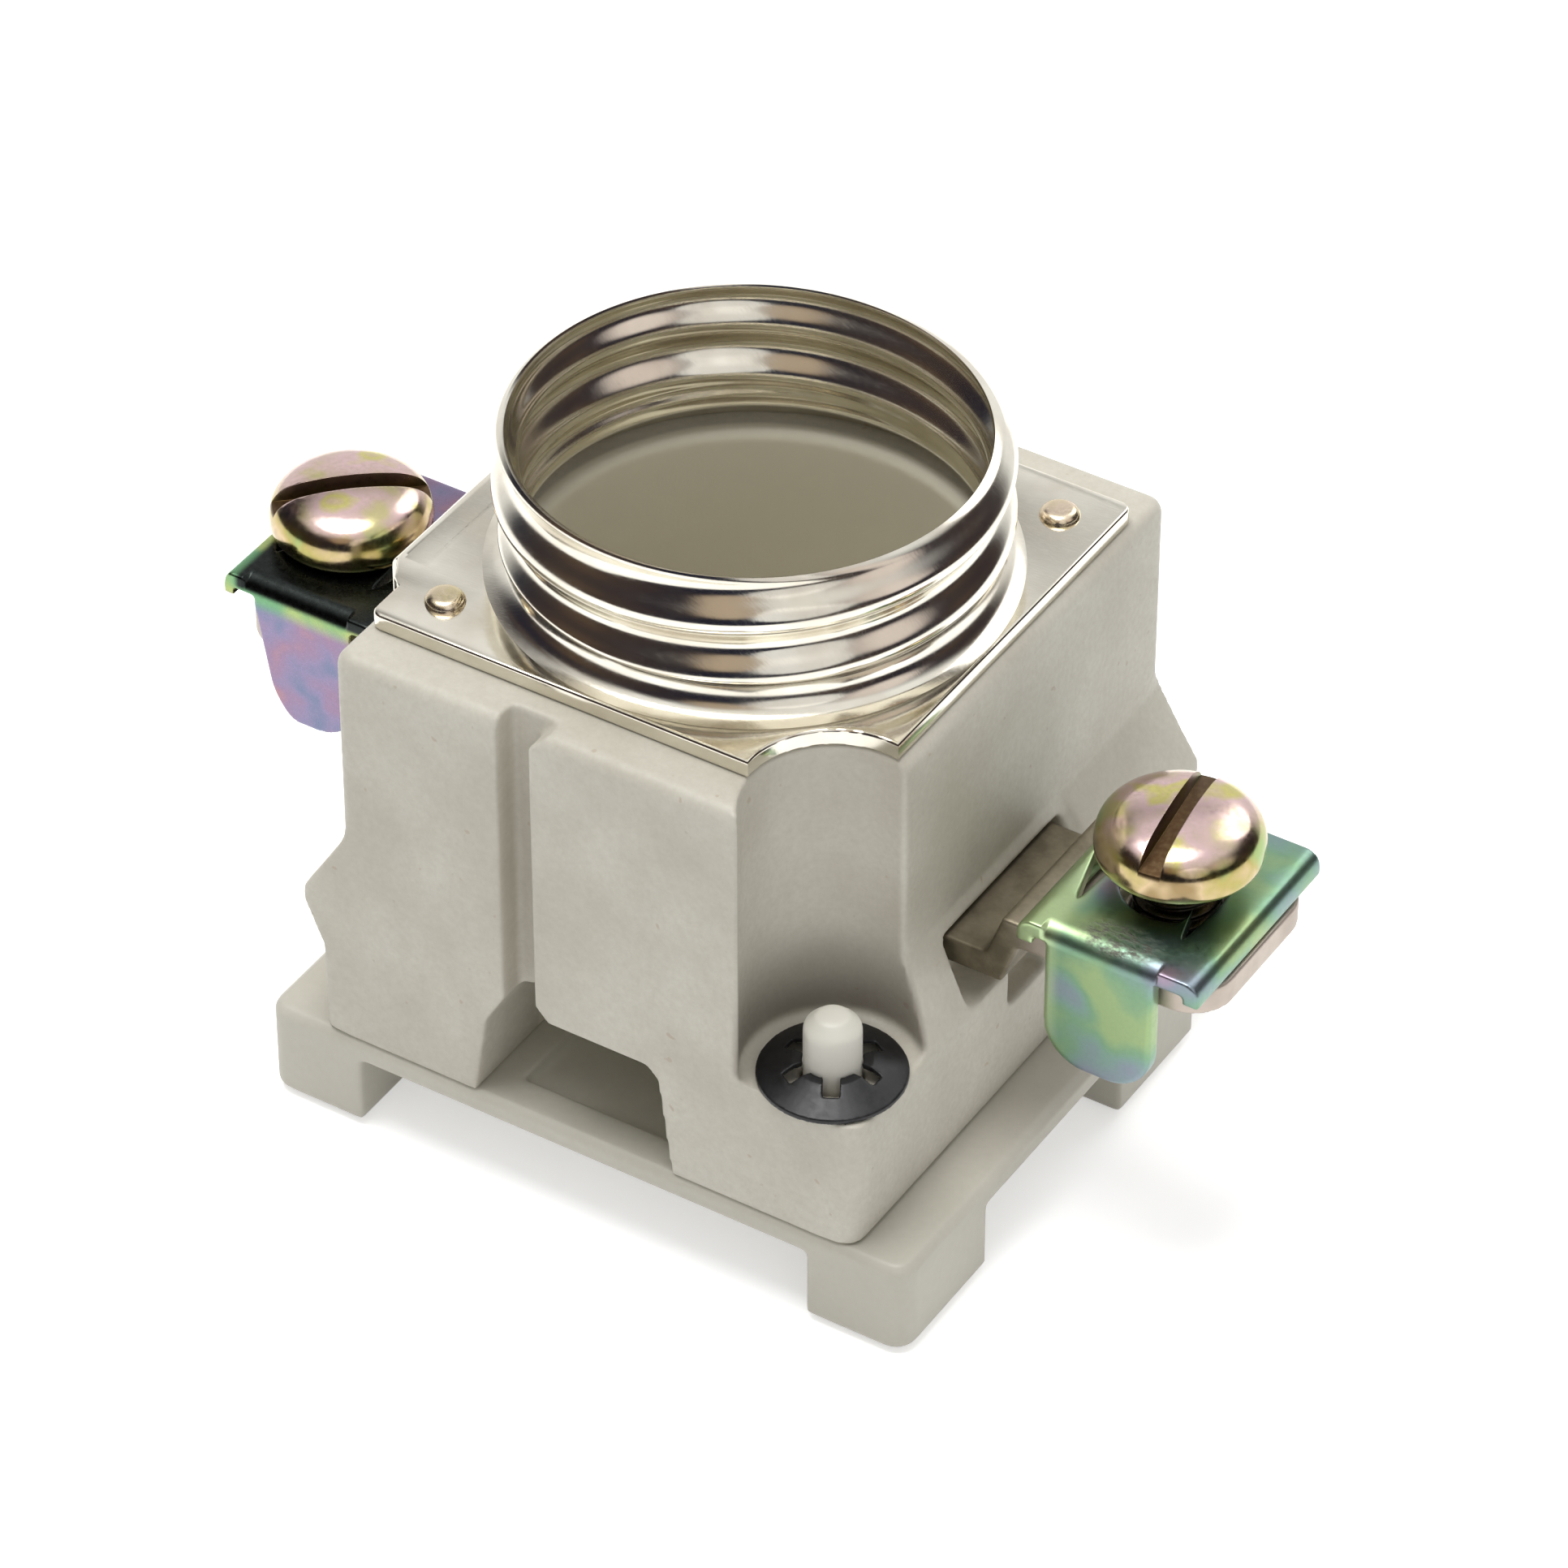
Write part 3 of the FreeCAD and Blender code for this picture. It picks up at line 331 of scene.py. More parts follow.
# %% Zinc of the saddles
def green_zinc_finish():
    """The right saddle: green to teal with violet clouds, a painted pale-green highlight at its inner edge,
    scratched grey by the last wire.
    """
    mix = Recipe("green_zinc")
    drift = mix.noise(5.5, 2.0, 0.45, seed=6.0)
    colour = mix.ramp(drift, [
        (0.36, tint(146, 168, 122)), (0.46, tint(122, 156, 126)), (0.54, tint(124, 152, 142)),
        (0.64, tint(132, 142, 154)), (0.74, tint(156, 138, 156))])
    # painted highlight: the inner edge towards the body is painted a pale light green
    highlight_lobe = mix.sums("SUBTRACT", 1.0, mix.ease(mix.along((1, 0, 0)), 27.2 * MM, 28.6 * MM))
    colour = mix.blend(mix.sums("MULTIPLY", highlight_lobe, 0.8), colour, tint(186, 206, 156))
    spot = mix.node("ShaderNodeMapping", Vector=mix.place, Location=(-32.0 * MM, 6.7 * MM, -22.1 * MM))
    wide = mix.node("ShaderNodeVectorMath", {"operation": "MULTIPLY"})
    mix.feed(wide.inputs[0], spot.outputs[0])
    mix.feed(wide.inputs[1], (1 / (3.8 * MM), 1 / (2.1 * MM), 1 / (1.6 * MM)))
    length = mix.node("ShaderNodeVectorMath", {"operation": "LENGTH"})
    mix.feed(length.inputs[0], wide.outputs[0])
    near = mix.sums("SUBTRACT", 1.0, mix.ease(length.outputs["Value"], 0.5, 1.0))
    scratch = mix.noise(0.7, 4.0, 0.7, stretch=(1.0, 1.8, 1.0), seed=21.0)
    worn = mix.sums("MULTIPLY", near, mix.span(scratch, 0.35, 0.60))
    colour = mix.blend(worn, colour, tint(104, 104, 96))
    fine = mix.noise(0.35, 3.0, 0.6, seed=12.0)
    colour = mix.blend(mix.span(fine, 0.45, 0.72, 0.0, 0.08), colour, tint(100, 116, 104))
    rough = mix.sums("ADD", mix.span(fine, 0.3, 0.7, 0.32, 0.40), mix.sums("MULTIPLY", worn, 0.25))
    normal = mix.bump(scratch, 0.10, mix.sums("MULTIPLY", worn, 0.9))
    return mix.finish(Base_Color=colour, Metallic=1.0, Roughness=rough, Normal=normal)


def violet_zinc_finish():
    """The left saddle: painted near-black shade on its top in front of the screw, green at its folds, violet
    down the tab.
    """
    mix = Recipe("violet_zinc")
    drift = mix.noise(3.6, 2.0, 0.5, seed=14.0)
    violet = mix.ramp(drift, [
        (0.34, tint(112, 120, 146)), (0.46, tint(134, 124, 152)), (0.58, tint(142, 120, 144)),
        (0.70, tint(160, 124, 132))])
    green = mix.ramp(drift, [(0.40, tint(110, 156, 116)), (0.60, tint(164, 178, 112))])
    height = mix.along((0, 0, 1))
    side = mix.along((1, 0, 0))
    behind = mix.ease(mix.along((0, 1, 0)), 0.5 * MM, 2.5 * MM)
    fold = mix.sums("SUBTRACT", mix.ease(height, 22.3 * MM, 23.6 * MM), behind)
    colour = mix.blend(mix.sums("MAXIMUM", fold, 0.0), violet, green)
    # painted shade: the top of the plate, in front of the screw and inward of the wing, is coloured near
    # black
    plate = mix.sums("MULTIPLY", mix.ease(height, 23.6 * MM, 24.1 * MM),
                     mix.sums("MULTIPLY", mix.ease(side, -36.4 * MM, -35.8 * MM),
                              mix.sums("SUBTRACT", 1.0, behind)))
    colour = mix.blend(plate, colour, tint(40, 44, 42))
    fine = mix.noise(0.35, 3.0, 0.6, seed=12.0)
    colour = mix.blend(mix.span(fine, 0.45, 0.72, 0.0, 0.08), colour, tint(96, 100, 104))
    return mix.finish(Base_Color=colour, Metallic=1.0, Roughness=mix.span(fine, 0.3, 0.7, 0.24, 0.32),
                      Normal=mix.bump(drift, 0.02, 0.3))


# %% Blackened steel, and all the metals
def black_finish():
    mix = Recipe("blackened_steel")
    fine = mix.noise(0.5, 3.0, 0.6, seed=8.0)
    colour = mix.blend(mix.span(fine, 0.35, 0.7), tint(20, 20, 22), tint(34, 34, 36))
    return mix.finish(Base_Color=colour, Metallic=0.3, Roughness=mix.span(fine, 0.3, 0.7, 0.32, 0.46),
                      Normal=mix.bump(fine, 0.01, 0.5))


nickel = nickel_finish()
dull_metal = dull_metal_finish()
straw_left = straw_zinc_finish("straw_zinc_left", -TERMINAL_X, SLOT_TURN["left"])
straw_right = straw_zinc_finish("straw_zinc_right", TERMINAL_X, SLOT_TURN["right"])
pale_zinc = pale_zinc_finish("pale_zinc", tint(226, 208, 186), tint(210, 198, 158))
# painted shade: the machine threads under the heads get near-black tones for the shade they sit in
shaded_thread_zinc = pale_zinc_finish("shaded_thread_zinc", tint(52, 48, 42), tint(36, 34, 30))
saddle_zinc_right = green_zinc_finish()
saddle_zinc_left = violet_zinc_finish()
black = black_finish()
metals = (nickel, dull_metal, straw_left, straw_right, pale_zinc, shaded_thread_zinc, saddle_zinc_right,
          saddle_zinc_left, black)
print("finishes:", [metal.name for metal in metals])

# %% [markdown]
# ## Ways to make a mesh
# Three makers cover everything but the threads. One copies a solid and rounds every edge by a
# fine voxel remesh, which is how moulded and stamped things really look. One turns a profile
# about an axis. One cuts a flat sheet from an outline. A fourth helper bakes modifiers into a
# plain mesh, so that nothing live is left on it.


# %% Mesh helpers
def show(name, mesh):
    piece = bpy.data.objects.new(name, mesh)
    bpy.context.scene.collection.objects.link(piece)
    return piece


def bake(piece):
    """The piece with its modifiers worked into the mesh, so that nothing live is left on it."""
    graph = bpy.context.evaluated_depsgraph_get()
    mesh = bpy.data.meshes.new_from_object(piece.evaluated_get(graph), preserve_all_data_layers=True,
                                           depsgraph=graph)
    mesh.name = piece.name
    piece.modifiers.clear()
    old = piece.data
    piece.data = mesh
    if old.users == 0:
        bpy.data.meshes.remove(old)
    return piece


def smooth(piece, angle=35):
    piece.data.shade_smooth()
    piece.data.set_sharp_from_angle(angle=math.radians(angle))
    return piece


# %% A solid with worn edges
def softened(node, name, voxel_mm, rounds, keep=1.0):
    """A copy of a solid whose edges are worn soft, as a mould or a press leaves them.

    keep is the share of faces that stays; the flat areas give up theirs first."""
    shape = bmesh.new()
    shape.from_mesh(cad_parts[node].data)
    bmesh.ops.remove_doubles(shape, verts=shape.verts, dist=1e-6)
    mesh = bpy.data.meshes.new(name)
    shape.to_mesh(mesh)
    shape.free()
    piece = show(name, mesh)
    remesh = piece.modifiers.new("voxels", "REMESH")
    remesh.mode = "VOXEL"
    remesh.voxel_size = voxel_mm * MM
    remesh.use_smooth_shade = True
    settle = piece.modifiers.new("settle", "SMOOTH")
    settle.factor = 0.5
    settle.iterations = rounds
    if keep < 1.0:
        thin = piece.modifiers.new("thin", "DECIMATE")
        thin.ratio = keep
    bake(piece)
    piece.data.shade_smooth()
    return piece


# %% A turned profile
def turned(name, profile, steps=96, place=(0, 0)):
    """A profile of (radius, height) in millimetres, from axis to axis, turned about an upright axis."""
    vertices = []
    rings = []
    for radius, height in profile:
        count = 1 if radius < 1e-6 else steps
        rings.append(range(len(vertices), len(vertices) + count))
        for index in range(count):
            angle = 2 * math.pi * index / steps
            vertices.append(((place[0] + radius * math.cos(angle)) * MM,
                             (place[1] + radius * math.sin(angle)) * MM, height * MM))
    faces = []
    for low, high in zip(rings, rings[1:]):
        for index in range(steps):
            after = (index + 1) % steps
            if len(low) == 1:
                faces.append((low[0], high[after], high[index]))
            elif len(high) == 1:
                faces.append((low[index], low[after], high[0]))
            else:
                faces.append((low[index], low[after], high[after], high[index]))
    mesh = bpy.data.meshes.new(name)
    mesh.from_pydata(vertices, [], faces)
    return smooth(show(name, mesh))


# %% A flat sheet
def arc(centre, radius, start, end, steps=12):
    """Points of an arc; angles in degrees, counter-clockwise from the first axis."""
    return [(centre[0] + radius * math.cos(math.radians(start + (end - start) * step / steps)),
             centre[1] + radius * math.sin(math.radians(start + (end - start) * step / steps)))
            for step in range(steps + 1)]


def sheet(name, loops, low, high, edge, upright=False):
    """A flat sheet cut from outlines: the first loop is its rim, the others are holes.

    It lies level from height low to high, or, when upright, stands in the XZ plane from y low to high."""
    curve = bpy.data.curves.new(name, "CURVE")
    curve.dimensions = "2D"
    curve.fill_mode = "BOTH"
    for loop in loops:
        spline = curve.splines.new("POLY")
        spline.points.add(len(loop) - 1)
        for point, (across, along) in zip(spline.points, loop):
            point.co = (across * MM, along * MM, 0, 1)
        spline.use_cyclic_u = True
    curve.extrude = ((high - low) / 2 - edge) * MM
    curve.bevel_depth = edge * MM
    curve.bevel_resolution = 2
    curve.offset = -edge * MM
    piece = bpy.data.objects.new(name, curve)
    bpy.context.scene.collection.objects.link(piece)
    graph = bpy.context.evaluated_depsgraph_get()
    mesh = bpy.data.meshes.new_from_object(piece.evaluated_get(graph), depsgraph=graph)
    bpy.data.objects.remove(piece)
    middle = (low + high) / 2 * MM
    if upright:
        mesh.transform(Matrix.Translation((0, middle, 0)) @ Matrix.Rotation(math.pi / 2, 4, "X"))
    else:
        mesh.transform(Matrix.Translation((0, 0, middle)))
    shape = bmesh.new()
    shape.from_mesh(mesh)
    bmesh.ops.remove_doubles(shape, verts=shape.verts, dist=2e-6)
    bmesh.ops.recalc_face_normals(shape, faces=shape.faces)
    shape.to_mesh(mesh)
    shape.free()
    return smooth(show(name, mesh), angle=30)


# %% Dressing a piece
def dress(piece, body, finish, slot, *nodes):
    """Gives a finished piece its material and its body, and hides the solids that it stands for."""
    piece.data.materials.clear()
    piece.data.materials.append(finish)
    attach(piece, body)
    if nodes:
        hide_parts(*nodes)
    print(f"{piece.name}: {len(piece.data.polygons)} faces on {body}")
    return piece


# %% [markdown]
# ## The moulded pieces
# The ceramic block and the plastic plate both come out of moulds, so their edges are round
# everywhere, inside corners too. A voxel remesh of the solid rounds them all at once.

# %% Ceramic block and base plate
EAR_DEPTH = 3.2


def wear_ears(piece, rounds):
    """Rounds the ears at both ends further: they stick out, so every handling rubs them."""
    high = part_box("ceramic_body")[1]
    group = piece.vertex_groups.new(name="ears")
    for vertex in piece.data.vertices:
        depth = (abs(vertex.co.x) - (high.x - EAR_DEPTH * MM)) / (EAR_DEPTH * MM)
        if depth > 0:
            group.add([vertex.index], min(1.0, 2.0 * depth), "REPLACE")
    wear = piece.modifiers.new("wear", "SMOOTH")
    wear.factor = 0.5
    wear.iterations = rounds
    wear.vertex_group = "ears"
    bake(piece)
    piece.data.shade_smooth()


block = softened("ceramic_body", "ceramic_block", voxel_mm=0.24, rounds=4, keep=0.36)
wear_ears(block, rounds=14)
dress(block, BASE, ceramic, "ceramic", "ceramic_body")
plate = softened("base_plate", "rail_plate", voxel_mm=0.22, rounds=4, keep=0.5)
dress(plate, BASE, plastic, "plate_plastic", "base_plate")

# %% [markdown]
# ## The rolled thread
# The shell is drawn from sheet and its thread is rolled in, so inside and outside wave together.
# That is a rule, not a drawing: at every angle the wave sits a little higher, one pitch per turn.
# A Geometry Nodes tree bends a flat grid into exactly that form, and the same tree later cuts the
# machine thread of the terminal screws.


# %% Thread tree
def thread_tree():
    tree = bpy.data.node_groups.new("helical_wave", "GeometryNodeTree")
    sockets = {}
    tree.interface.new_socket("Geometry", in_out="OUTPUT", socket_type="NodeSocketGeometry")
    for title, kind, default in (
            ("Middle radius", "Float", 0.0169), ("Depth", "Float", 0.0012), ("Pitch", "Float", 0.00423),
            ("Crest height", "Float", 0.043), ("Front angle", "Float", 0.0), ("Sheet", "Float", 0.0007),
            ("Foot", "Float", 0.0357), ("Lip", "Float", 0.0468), ("Flare", "Float", 0.0012),
            ("Run in", "Float", 0.0015), ("Lean", "Float", 0.0), ("Lean angle", "Float", 0.0),
            ("Mouth", "Float", 0.0), ("Mouth height", "Float", 0.002),
            ("Around", "Int", 256), ("Rings", "Int", 160)):
        item = tree.interface.new_socket(title, in_out="INPUT", socket_type=f"NodeSocket{kind}")
        item.default_value = default
        sockets[title] = item.identifier
    item = tree.interface.new_socket("Material", in_out="INPUT", socket_type="NodeSocketMaterial")
    sockets["Material"] = item.identifier
    given = tree.nodes.new("NodeGroupInput")
    result = tree.nodes.new("NodeGroupOutput")

    def take(title):
        return next(socket for socket in given.outputs if socket.identifier == sockets[title])

    def link(value, socket):
        if isinstance(value, bpy.types.NodeSocket):
            tree.links.new(value, socket)
        else:
            socket.default_value = value

    def calc(operation, *values):
        node = tree.nodes.new("ShaderNodeMath")
        node.operation = operation
        for socket, value in zip(node.inputs, values):
            link(value, socket)
        return node.outputs[0]

    def ease(value, low, high):
        node = tree.nodes.new("ShaderNodeMapRange")
        node.interpolation_type = "SMOOTHSTEP"
        for socket, given_value in zip(node.inputs, (value, low, high, 0.0, 1.0)):
            link(given_value, socket)
        return node.outputs[0]

    grid = tree.nodes.new("GeometryNodeMeshGrid")
    link(1.0, grid.inputs["Size X"])
    link(1.0, grid.inputs["Size Y"])
    link(calc("ADD", take("Around"), 1.0), grid.inputs["Vertices X"])
    link(calc("ADD", take("Rings"), 1.0), grid.inputs["Vertices Y"])
    place = tree.nodes.new("ShaderNodeSeparateXYZ")
    link(tree.nodes.new("GeometryNodeInputPosition").outputs[0], place.inputs[0])
    angle = calc("MULTIPLY", calc("ADD", place.outputs["X"], 0.5), 2 * math.pi)
    along = calc("ADD", place.outputs["Y"], 0.5)
    climb = calc("SUBTRACT", 1.0, calc("ABSOLUTE", calc("SUBTRACT", calc("MULTIPLY", along, 2.0), 1.0)))
    inside = calc("MINIMUM", ease(along, 0.482, 0.518), calc("SUBTRACT", 1.0, ease(along, 0.985, 1.0)))
    low_side = calc("ADD", 1.0, calc("COSINE", calc("SUBTRACT", angle, take("Lean angle"))))
    lip = calc("SUBTRACT", take("Lip"), calc("MULTIPLY", calc("MULTIPLY", take("Lean"), 0.5), low_side))
    height = calc("ADD", take("Foot"), calc("MULTIPLY", climb, calc("SUBTRACT", lip, take("Foot"))))
    turns = calc("SUBTRACT",
                 calc("DIVIDE", calc("SUBTRACT", height, take("Crest height")), take("Pitch")),
                 calc("DIVIDE", calc("SUBTRACT", angle, take("Front angle")), 2 * math.pi))
    wave = calc("COSINE", calc("MULTIPLY", turns, 2 * math.pi))
    above_foot = calc("SUBTRACT", height, take("Foot"))
    run_in = ease(above_foot, take("Flare"), calc("ADD", take("Flare"), take("Run in")))
    swing = calc("SUBTRACT", calc("MULTIPLY", calc("ADD", wave, 1.0), run_in), 1.0)
    corner = calc("MAXIMUM", calc("SUBTRACT", take("Flare"), above_foot), 0.0)
    depth_left = calc("SUBTRACT", calc("MULTIPLY", take("Flare"), take("Flare")),
                      calc("MULTIPLY", corner, corner))
    bend = calc("SUBTRACT", take("Flare"), calc("SQRT", calc("MAXIMUM", depth_left, 0.0)))
    radius = calc("ADD", take("Middle radius"), calc("MULTIPLY", swing, calc("MULTIPLY", take("Depth"), 0.5)))
    mouth = calc("MULTIPLY", take("Mouth"), ease(height, calc("SUBTRACT", lip, take("Mouth height")), lip))
    radius = calc("ADD", calc("ADD", radius, bend), mouth)
    radius = calc("SUBTRACT", radius, calc("MULTIPLY", inside, take("Sheet")))
    joined = tree.nodes.new("ShaderNodeCombineXYZ")
    link(calc("MULTIPLY", radius, calc("COSINE", angle)), joined.inputs["X"])
    link(calc("MULTIPLY", radius, calc("SINE", angle)), joined.inputs["Y"])
    link(height, joined.inputs["Z"])

    bent = tree.nodes.new("GeometryNodeSetPosition")
    link(grid.outputs["Mesh"], bent.inputs["Geometry"])
    link(joined.outputs[0], bent.inputs["Position"])
    closed = tree.nodes.new("GeometryNodeMergeByDistance")
    link(bent.outputs[0], closed.inputs["Geometry"])
    link(1e-6, closed.inputs["Distance"])
    real = tree.nodes.new("GeometryNodeRealizeInstances")
    link(closed.outputs[0], real.inputs["Geometry"])
    painted = tree.nodes.new("GeometryNodeSetMaterial")
    link(real.outputs[0], painted.inputs["Geometry"])
    link(take("Material"), painted.inputs["Material"])
    link(painted.outputs[0], result.inputs["Geometry"])
    return tree, sockets


THREAD, THREAD_INPUTS = thread_tree()


# %% A threaded tube
def threaded(name, finish, place=(0, 0), **sizes):
    """A tube that follows the thread rule. Lengths are in millimetres, angles in degrees."""
    piece = show(name, bpy.data.meshes.new(name))
    maker = piece.modifiers.new("thread", "NODES")
    maker.node_group = THREAD
    for title, value in sizes.items():
        title = title.replace("_", " ").capitalize()
        if title in ("Front angle", "Lean angle"):
            value = math.radians(value)
        elif title not in ("Around", "Rings"):
            value = value * MM
        maker[THREAD_INPUTS[title]] = value
    maker[THREAD_INPUTS["Material"]] = finish
    bake(piece)
    piece.data.transform(Matrix.Translation((place[0] * MM, place[1] * MM, 0)))
    return smooth(piece, angle=60)


# %% [markdown]
# ## The shell, its flange and its strap
# One pressing makes all three. The flange is a square sheet whose two corners give way to the
# round notches over the pins; the strap folds over the left edge, runs down the ceramic, and
# turns out again as the left terminal.

# %% Shell
CREST_RADIUS = 17.05
THREAD_DEPTH = 1.15
PITCH = 4.23
SHELL_SHEET = 0.7
FLARE = 1.9
FRONT_ANGLE = -58
FRONT_CREST = 43.2
LIP_LOSS = 0.2
LEAN = 1.0
LEAN_ANGLE = 27
MOUTH = -0.4
shell_low, shell_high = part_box("thread_shell")
LIP = shell_high.z / MM - LIP_LOSS
FLANGE_TOP = 35.7
FLANGE_UNDER = 34.4

shell = threaded("rolled_shell", nickel, middle_radius=CREST_RADIUS - THREAD_DEPTH / 2, depth=THREAD_DEPTH,
                 pitch=PITCH, crest_height=FRONT_CREST, front_angle=FRONT_ANGLE, sheet=SHELL_SHEET,
                 foot=FLANGE_TOP - 0.02, lip=LIP, flare=FLARE, run_in=1.3, lean=LEAN, lean_angle=LEAN_ANGLE,
                 mouth=MOUTH, mouth_height=1.8, around=288, rings=176)
dress(shell, BASE, nickel, "nickel", "thread_shell")

# %% Flange
FLANGE_HALF = shell_high.x / MM
NOTCH_RADIUS = 6.1
CORNER = 0.8
UNDER_FLARE = 0.25


def flange_outline():
    """The square with two rounded corners and two notch arcs, counter-clockwise from the front left."""
    half = FLANGE_HALF
    reach_x = math.degrees(math.acos((half - PIN_X) / NOTCH_RADIUS))
    reach_y = math.degrees(math.asin((half - PIN_Y) / NOTCH_RADIUS))
    front = arc((PIN_X, -PIN_Y), NOTCH_RADIUS, 180 + reach_y, reach_x, 40)
    rim = arc((CORNER - half, CORNER - half), CORNER, 180, 270, 6) + front
    web = [(-half, -11.5), (-19.8, -11.5), (-19.8, -12.3), (-18.8, -14.1), (-half, -14.7)]
    return rim + [(-x, -y) for x, y in rim] + web


hole = arc((0, 0), CREST_RADIUS - THREAD_DEPTH + FLARE - UNDER_FLARE, 360, 0, 144)[:-1]
flange = sheet("flange", [flange_outline(), hole], FLANGE_UNDER, FLANGE_TOP, edge=0.22)
dress(flange, BASE, nickel, "nickel")

# %% Strap and left terminal
STRAP_FACE = 20.3
STRAP_BEND = 1.0
INNER_BEND = 0.15
STRAP_LAP = 0.5
STRAP_FRONT, STRAP_REAR = -12.3, 11.4
STRIP_HALF = 6.9
STRIP_TOP = 20.3
STRIP_UNDER = 18.3
STRIP_CORNER = 3.0
STRIP_LOSS = 1.5
SCREW_HOLE_RADIUS = 3.06


def strap_outline():
    """The strap's side view: over the edge of the ceramic, down its side and out at the foot."""
    thick = FLANGE_TOP - FLANGE_UNDER
    outer = arc((-STRAP_FACE + STRAP_BEND, FLANGE_TOP - STRAP_BEND), STRAP_BEND, 90, 180, 10)
    inner = arc((-STRAP_FACE + thick + INNER_BEND, FLANGE_TOP - thick - INNER_BEND), INNER_BEND, 180, 90, 4)
    start = -FLANGE_HALF + STRAP_LAP
    foot = [(-STRAP_FACE, STRIP_UNDER + 0.6), (-STRAP_FACE + thick, STRIP_UNDER + 0.6)]
    return [(start, FLANGE_TOP)] + outer + foot + inner + [(start, FLANGE_UNDER)]


strap = sheet("shell_strap", [strap_outline()], STRAP_FRONT, STRAP_REAR, edge=0.2, upright=True)
dress(strap, BASE, nickel, "nickel")


def strip_outline(near_x, far_x):
    """The left strip from above, with two round corners at its far end."""
    far = far_x - STRIP_CORNER
    points = [(near_x, -STRIP_HALF)] + arc((far, STRIP_CORNER - STRIP_HALF), STRIP_CORNER, 270, 360, 10)
    points += arc((far, STRIP_HALF - STRIP_CORNER), STRIP_CORNER, 0, 90, 10) + [(near_x, STRIP_HALF)]
    return [(-x, y) for x, y in reversed(points)]


strip_end = -shell_low.x / MM - STRIP_LOSS
screw_hole = [(x - TERMINAL_X, y) for x, y in arc((0, 0), SCREW_HOLE_RADIUS, 360, 0, 48)[:-1]]
left_strip = sheet("left_terminal", [strip_outline(STRAP_FACE - 1.0, strip_end), screw_hole],
                   STRIP_UNDER, STRIP_TOP, edge=0.2)
dress(left_strip, BASE, dull_metal, "nickel")

# %% [markdown]
# ## The stamped pieces
# Saddles, washers and the contact rail are punched and bent. Their solids already have the right
# bends and slots, so a fine remesh gives them the rolled-over edges of a punch. The saddles are
# then pressed a little further: their slits end in sharp tips and the fold above the tab is round.

# %% Contact rail
rail = softened("contact_rail", "bottom_contact", voxel_mm=0.2, rounds=3)
dress(rail, BASE, dull_metal, "nickel", "contact_rail")

# %% Saddles
SLIT_APART = 4.6
SLIT_HALF = 0.45
SLIT_REACH = 3.6
CLAW_REACH = 4.6
CLAW_HALF = 0.85
CLAW_TIP = 0.04
CLAW_LEAN = 0.11
CLAW_LINES = 26.95, 34.7
CLAW_FADE = 0.8
OUTER_PULL, INNER_PULL = 1.5, 2.4
PLATE_SKIN = 1.6
RIM_KEPT = 5.6
PLATE_EDGE = 6.2
FOLD_RADIUS = 1.35
TAB_LEFT, TAB_RIGHT = 27.0, 35.5
WING_START = 35.6
WING_SHARE = 0.6
TAB_TAPER = 0.055
TAPER_START = 2.0
TAB_DEPTH = 1.6


def between(value, places, targets):
    """The piecewise straight line through places and targets, and the value itself beyond them."""
    for low, high, start, end in zip(places, places[1:], targets, targets[1:]):
        if low <= value <= high:
            return start + (end - start) * (value - low) / (high - low)
    return value


def draw_claw(x, y, slit, line, away):
    """Where a point near a slit goes when the slit is drawn out to a claw along its line."""
    tip = max(0.0, 1.0 - max(abs(x - slit) - SLIT_HALF, 0.0) / CLAW_FADE)
    far = between(abs(y), (0, SLIT_REACH, PLATE_EDGE), (0, CLAW_REACH, PLATE_EDGE))
    y = math.copysign(abs(y) + (far - abs(y)) * tip, y)
    share = min(1.0, max(0.0, RIM_KEPT - abs(y)))
    half = CLAW_HALF * max(0.0, 1.0 - abs(y) / CLAW_REACH) + CLAW_TIP
    line = line + CLAW_LEAN * abs(y)
    moved = between(x, (slit - away[0], slit - SLIT_HALF, slit + SLIT_HALF, slit + away[1]),
                    (slit - away[0], line - half, line + half, slit + away[1]))
    return x + (moved - x) * share, y


def press_saddle(piece, side, middle, top, front):
    """Draws the slits out to claws and rounds the fold; the left saddle's wing and tab are trimmed."""
    claws = [(middle - SLIT_APART, CLAW_LINES[0], (OUTER_PULL, INNER_PULL)),
             (middle + SLIT_APART, CLAW_LINES[1], (INNER_PULL, OUTER_PULL))]
    for vertex in piece.data.vertices:
        x, y, z = (value / MM for value in vertex.co)
        x = x * side
        if z > top - PLATE_SKIN:
            for slit, line, away in claws:
                if abs(x - slit) < INNER_PULL:
                    x, y = draw_claw(x, y, slit, line, away)
                    break
        depth, rise = front + FOLD_RADIUS - y, z - (top - FOLD_RADIUS)
        if TAB_LEFT < x < TAB_RIGHT and depth > 0 and rise > 0:
            reach = math.hypot(depth, rise)
            if reach > FOLD_RADIUS:
                y = front + FOLD_RADIUS - depth * FOLD_RADIUS / reach
                z = top - FOLD_RADIUS + rise * FOLD_RADIUS / reach
        if side < 0:
            if x > WING_START:
                x = WING_START + (x - WING_START) * WING_SHARE
            elif z < top - TAPER_START and y < front + TAB_DEPTH and x > middle:
                x = x - (x - middle) * TAB_TAPER * (top - TAPER_START - z)
        vertex.co = (x * side * MM, y * MM, z * MM)


for side, body, finish in (("left", LEFT_SADDLE, saddle_zinc_left),
                           ("right", RIGHT_SADDLE, saddle_zinc_right)):
    saddle = softened(f"saddle_{side}", f"clamp_{side}", voxel_mm=0.13, rounds=8)
    low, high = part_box(f"saddle_{side}")
    press_saddle(saddle, 1 if side == "right" else -1, abs(low.x + high.x) / 2 / MM, high.z / MM, low.y / MM)
    dress(saddle, body, finish, "zinc_green", f"saddle_{side}")

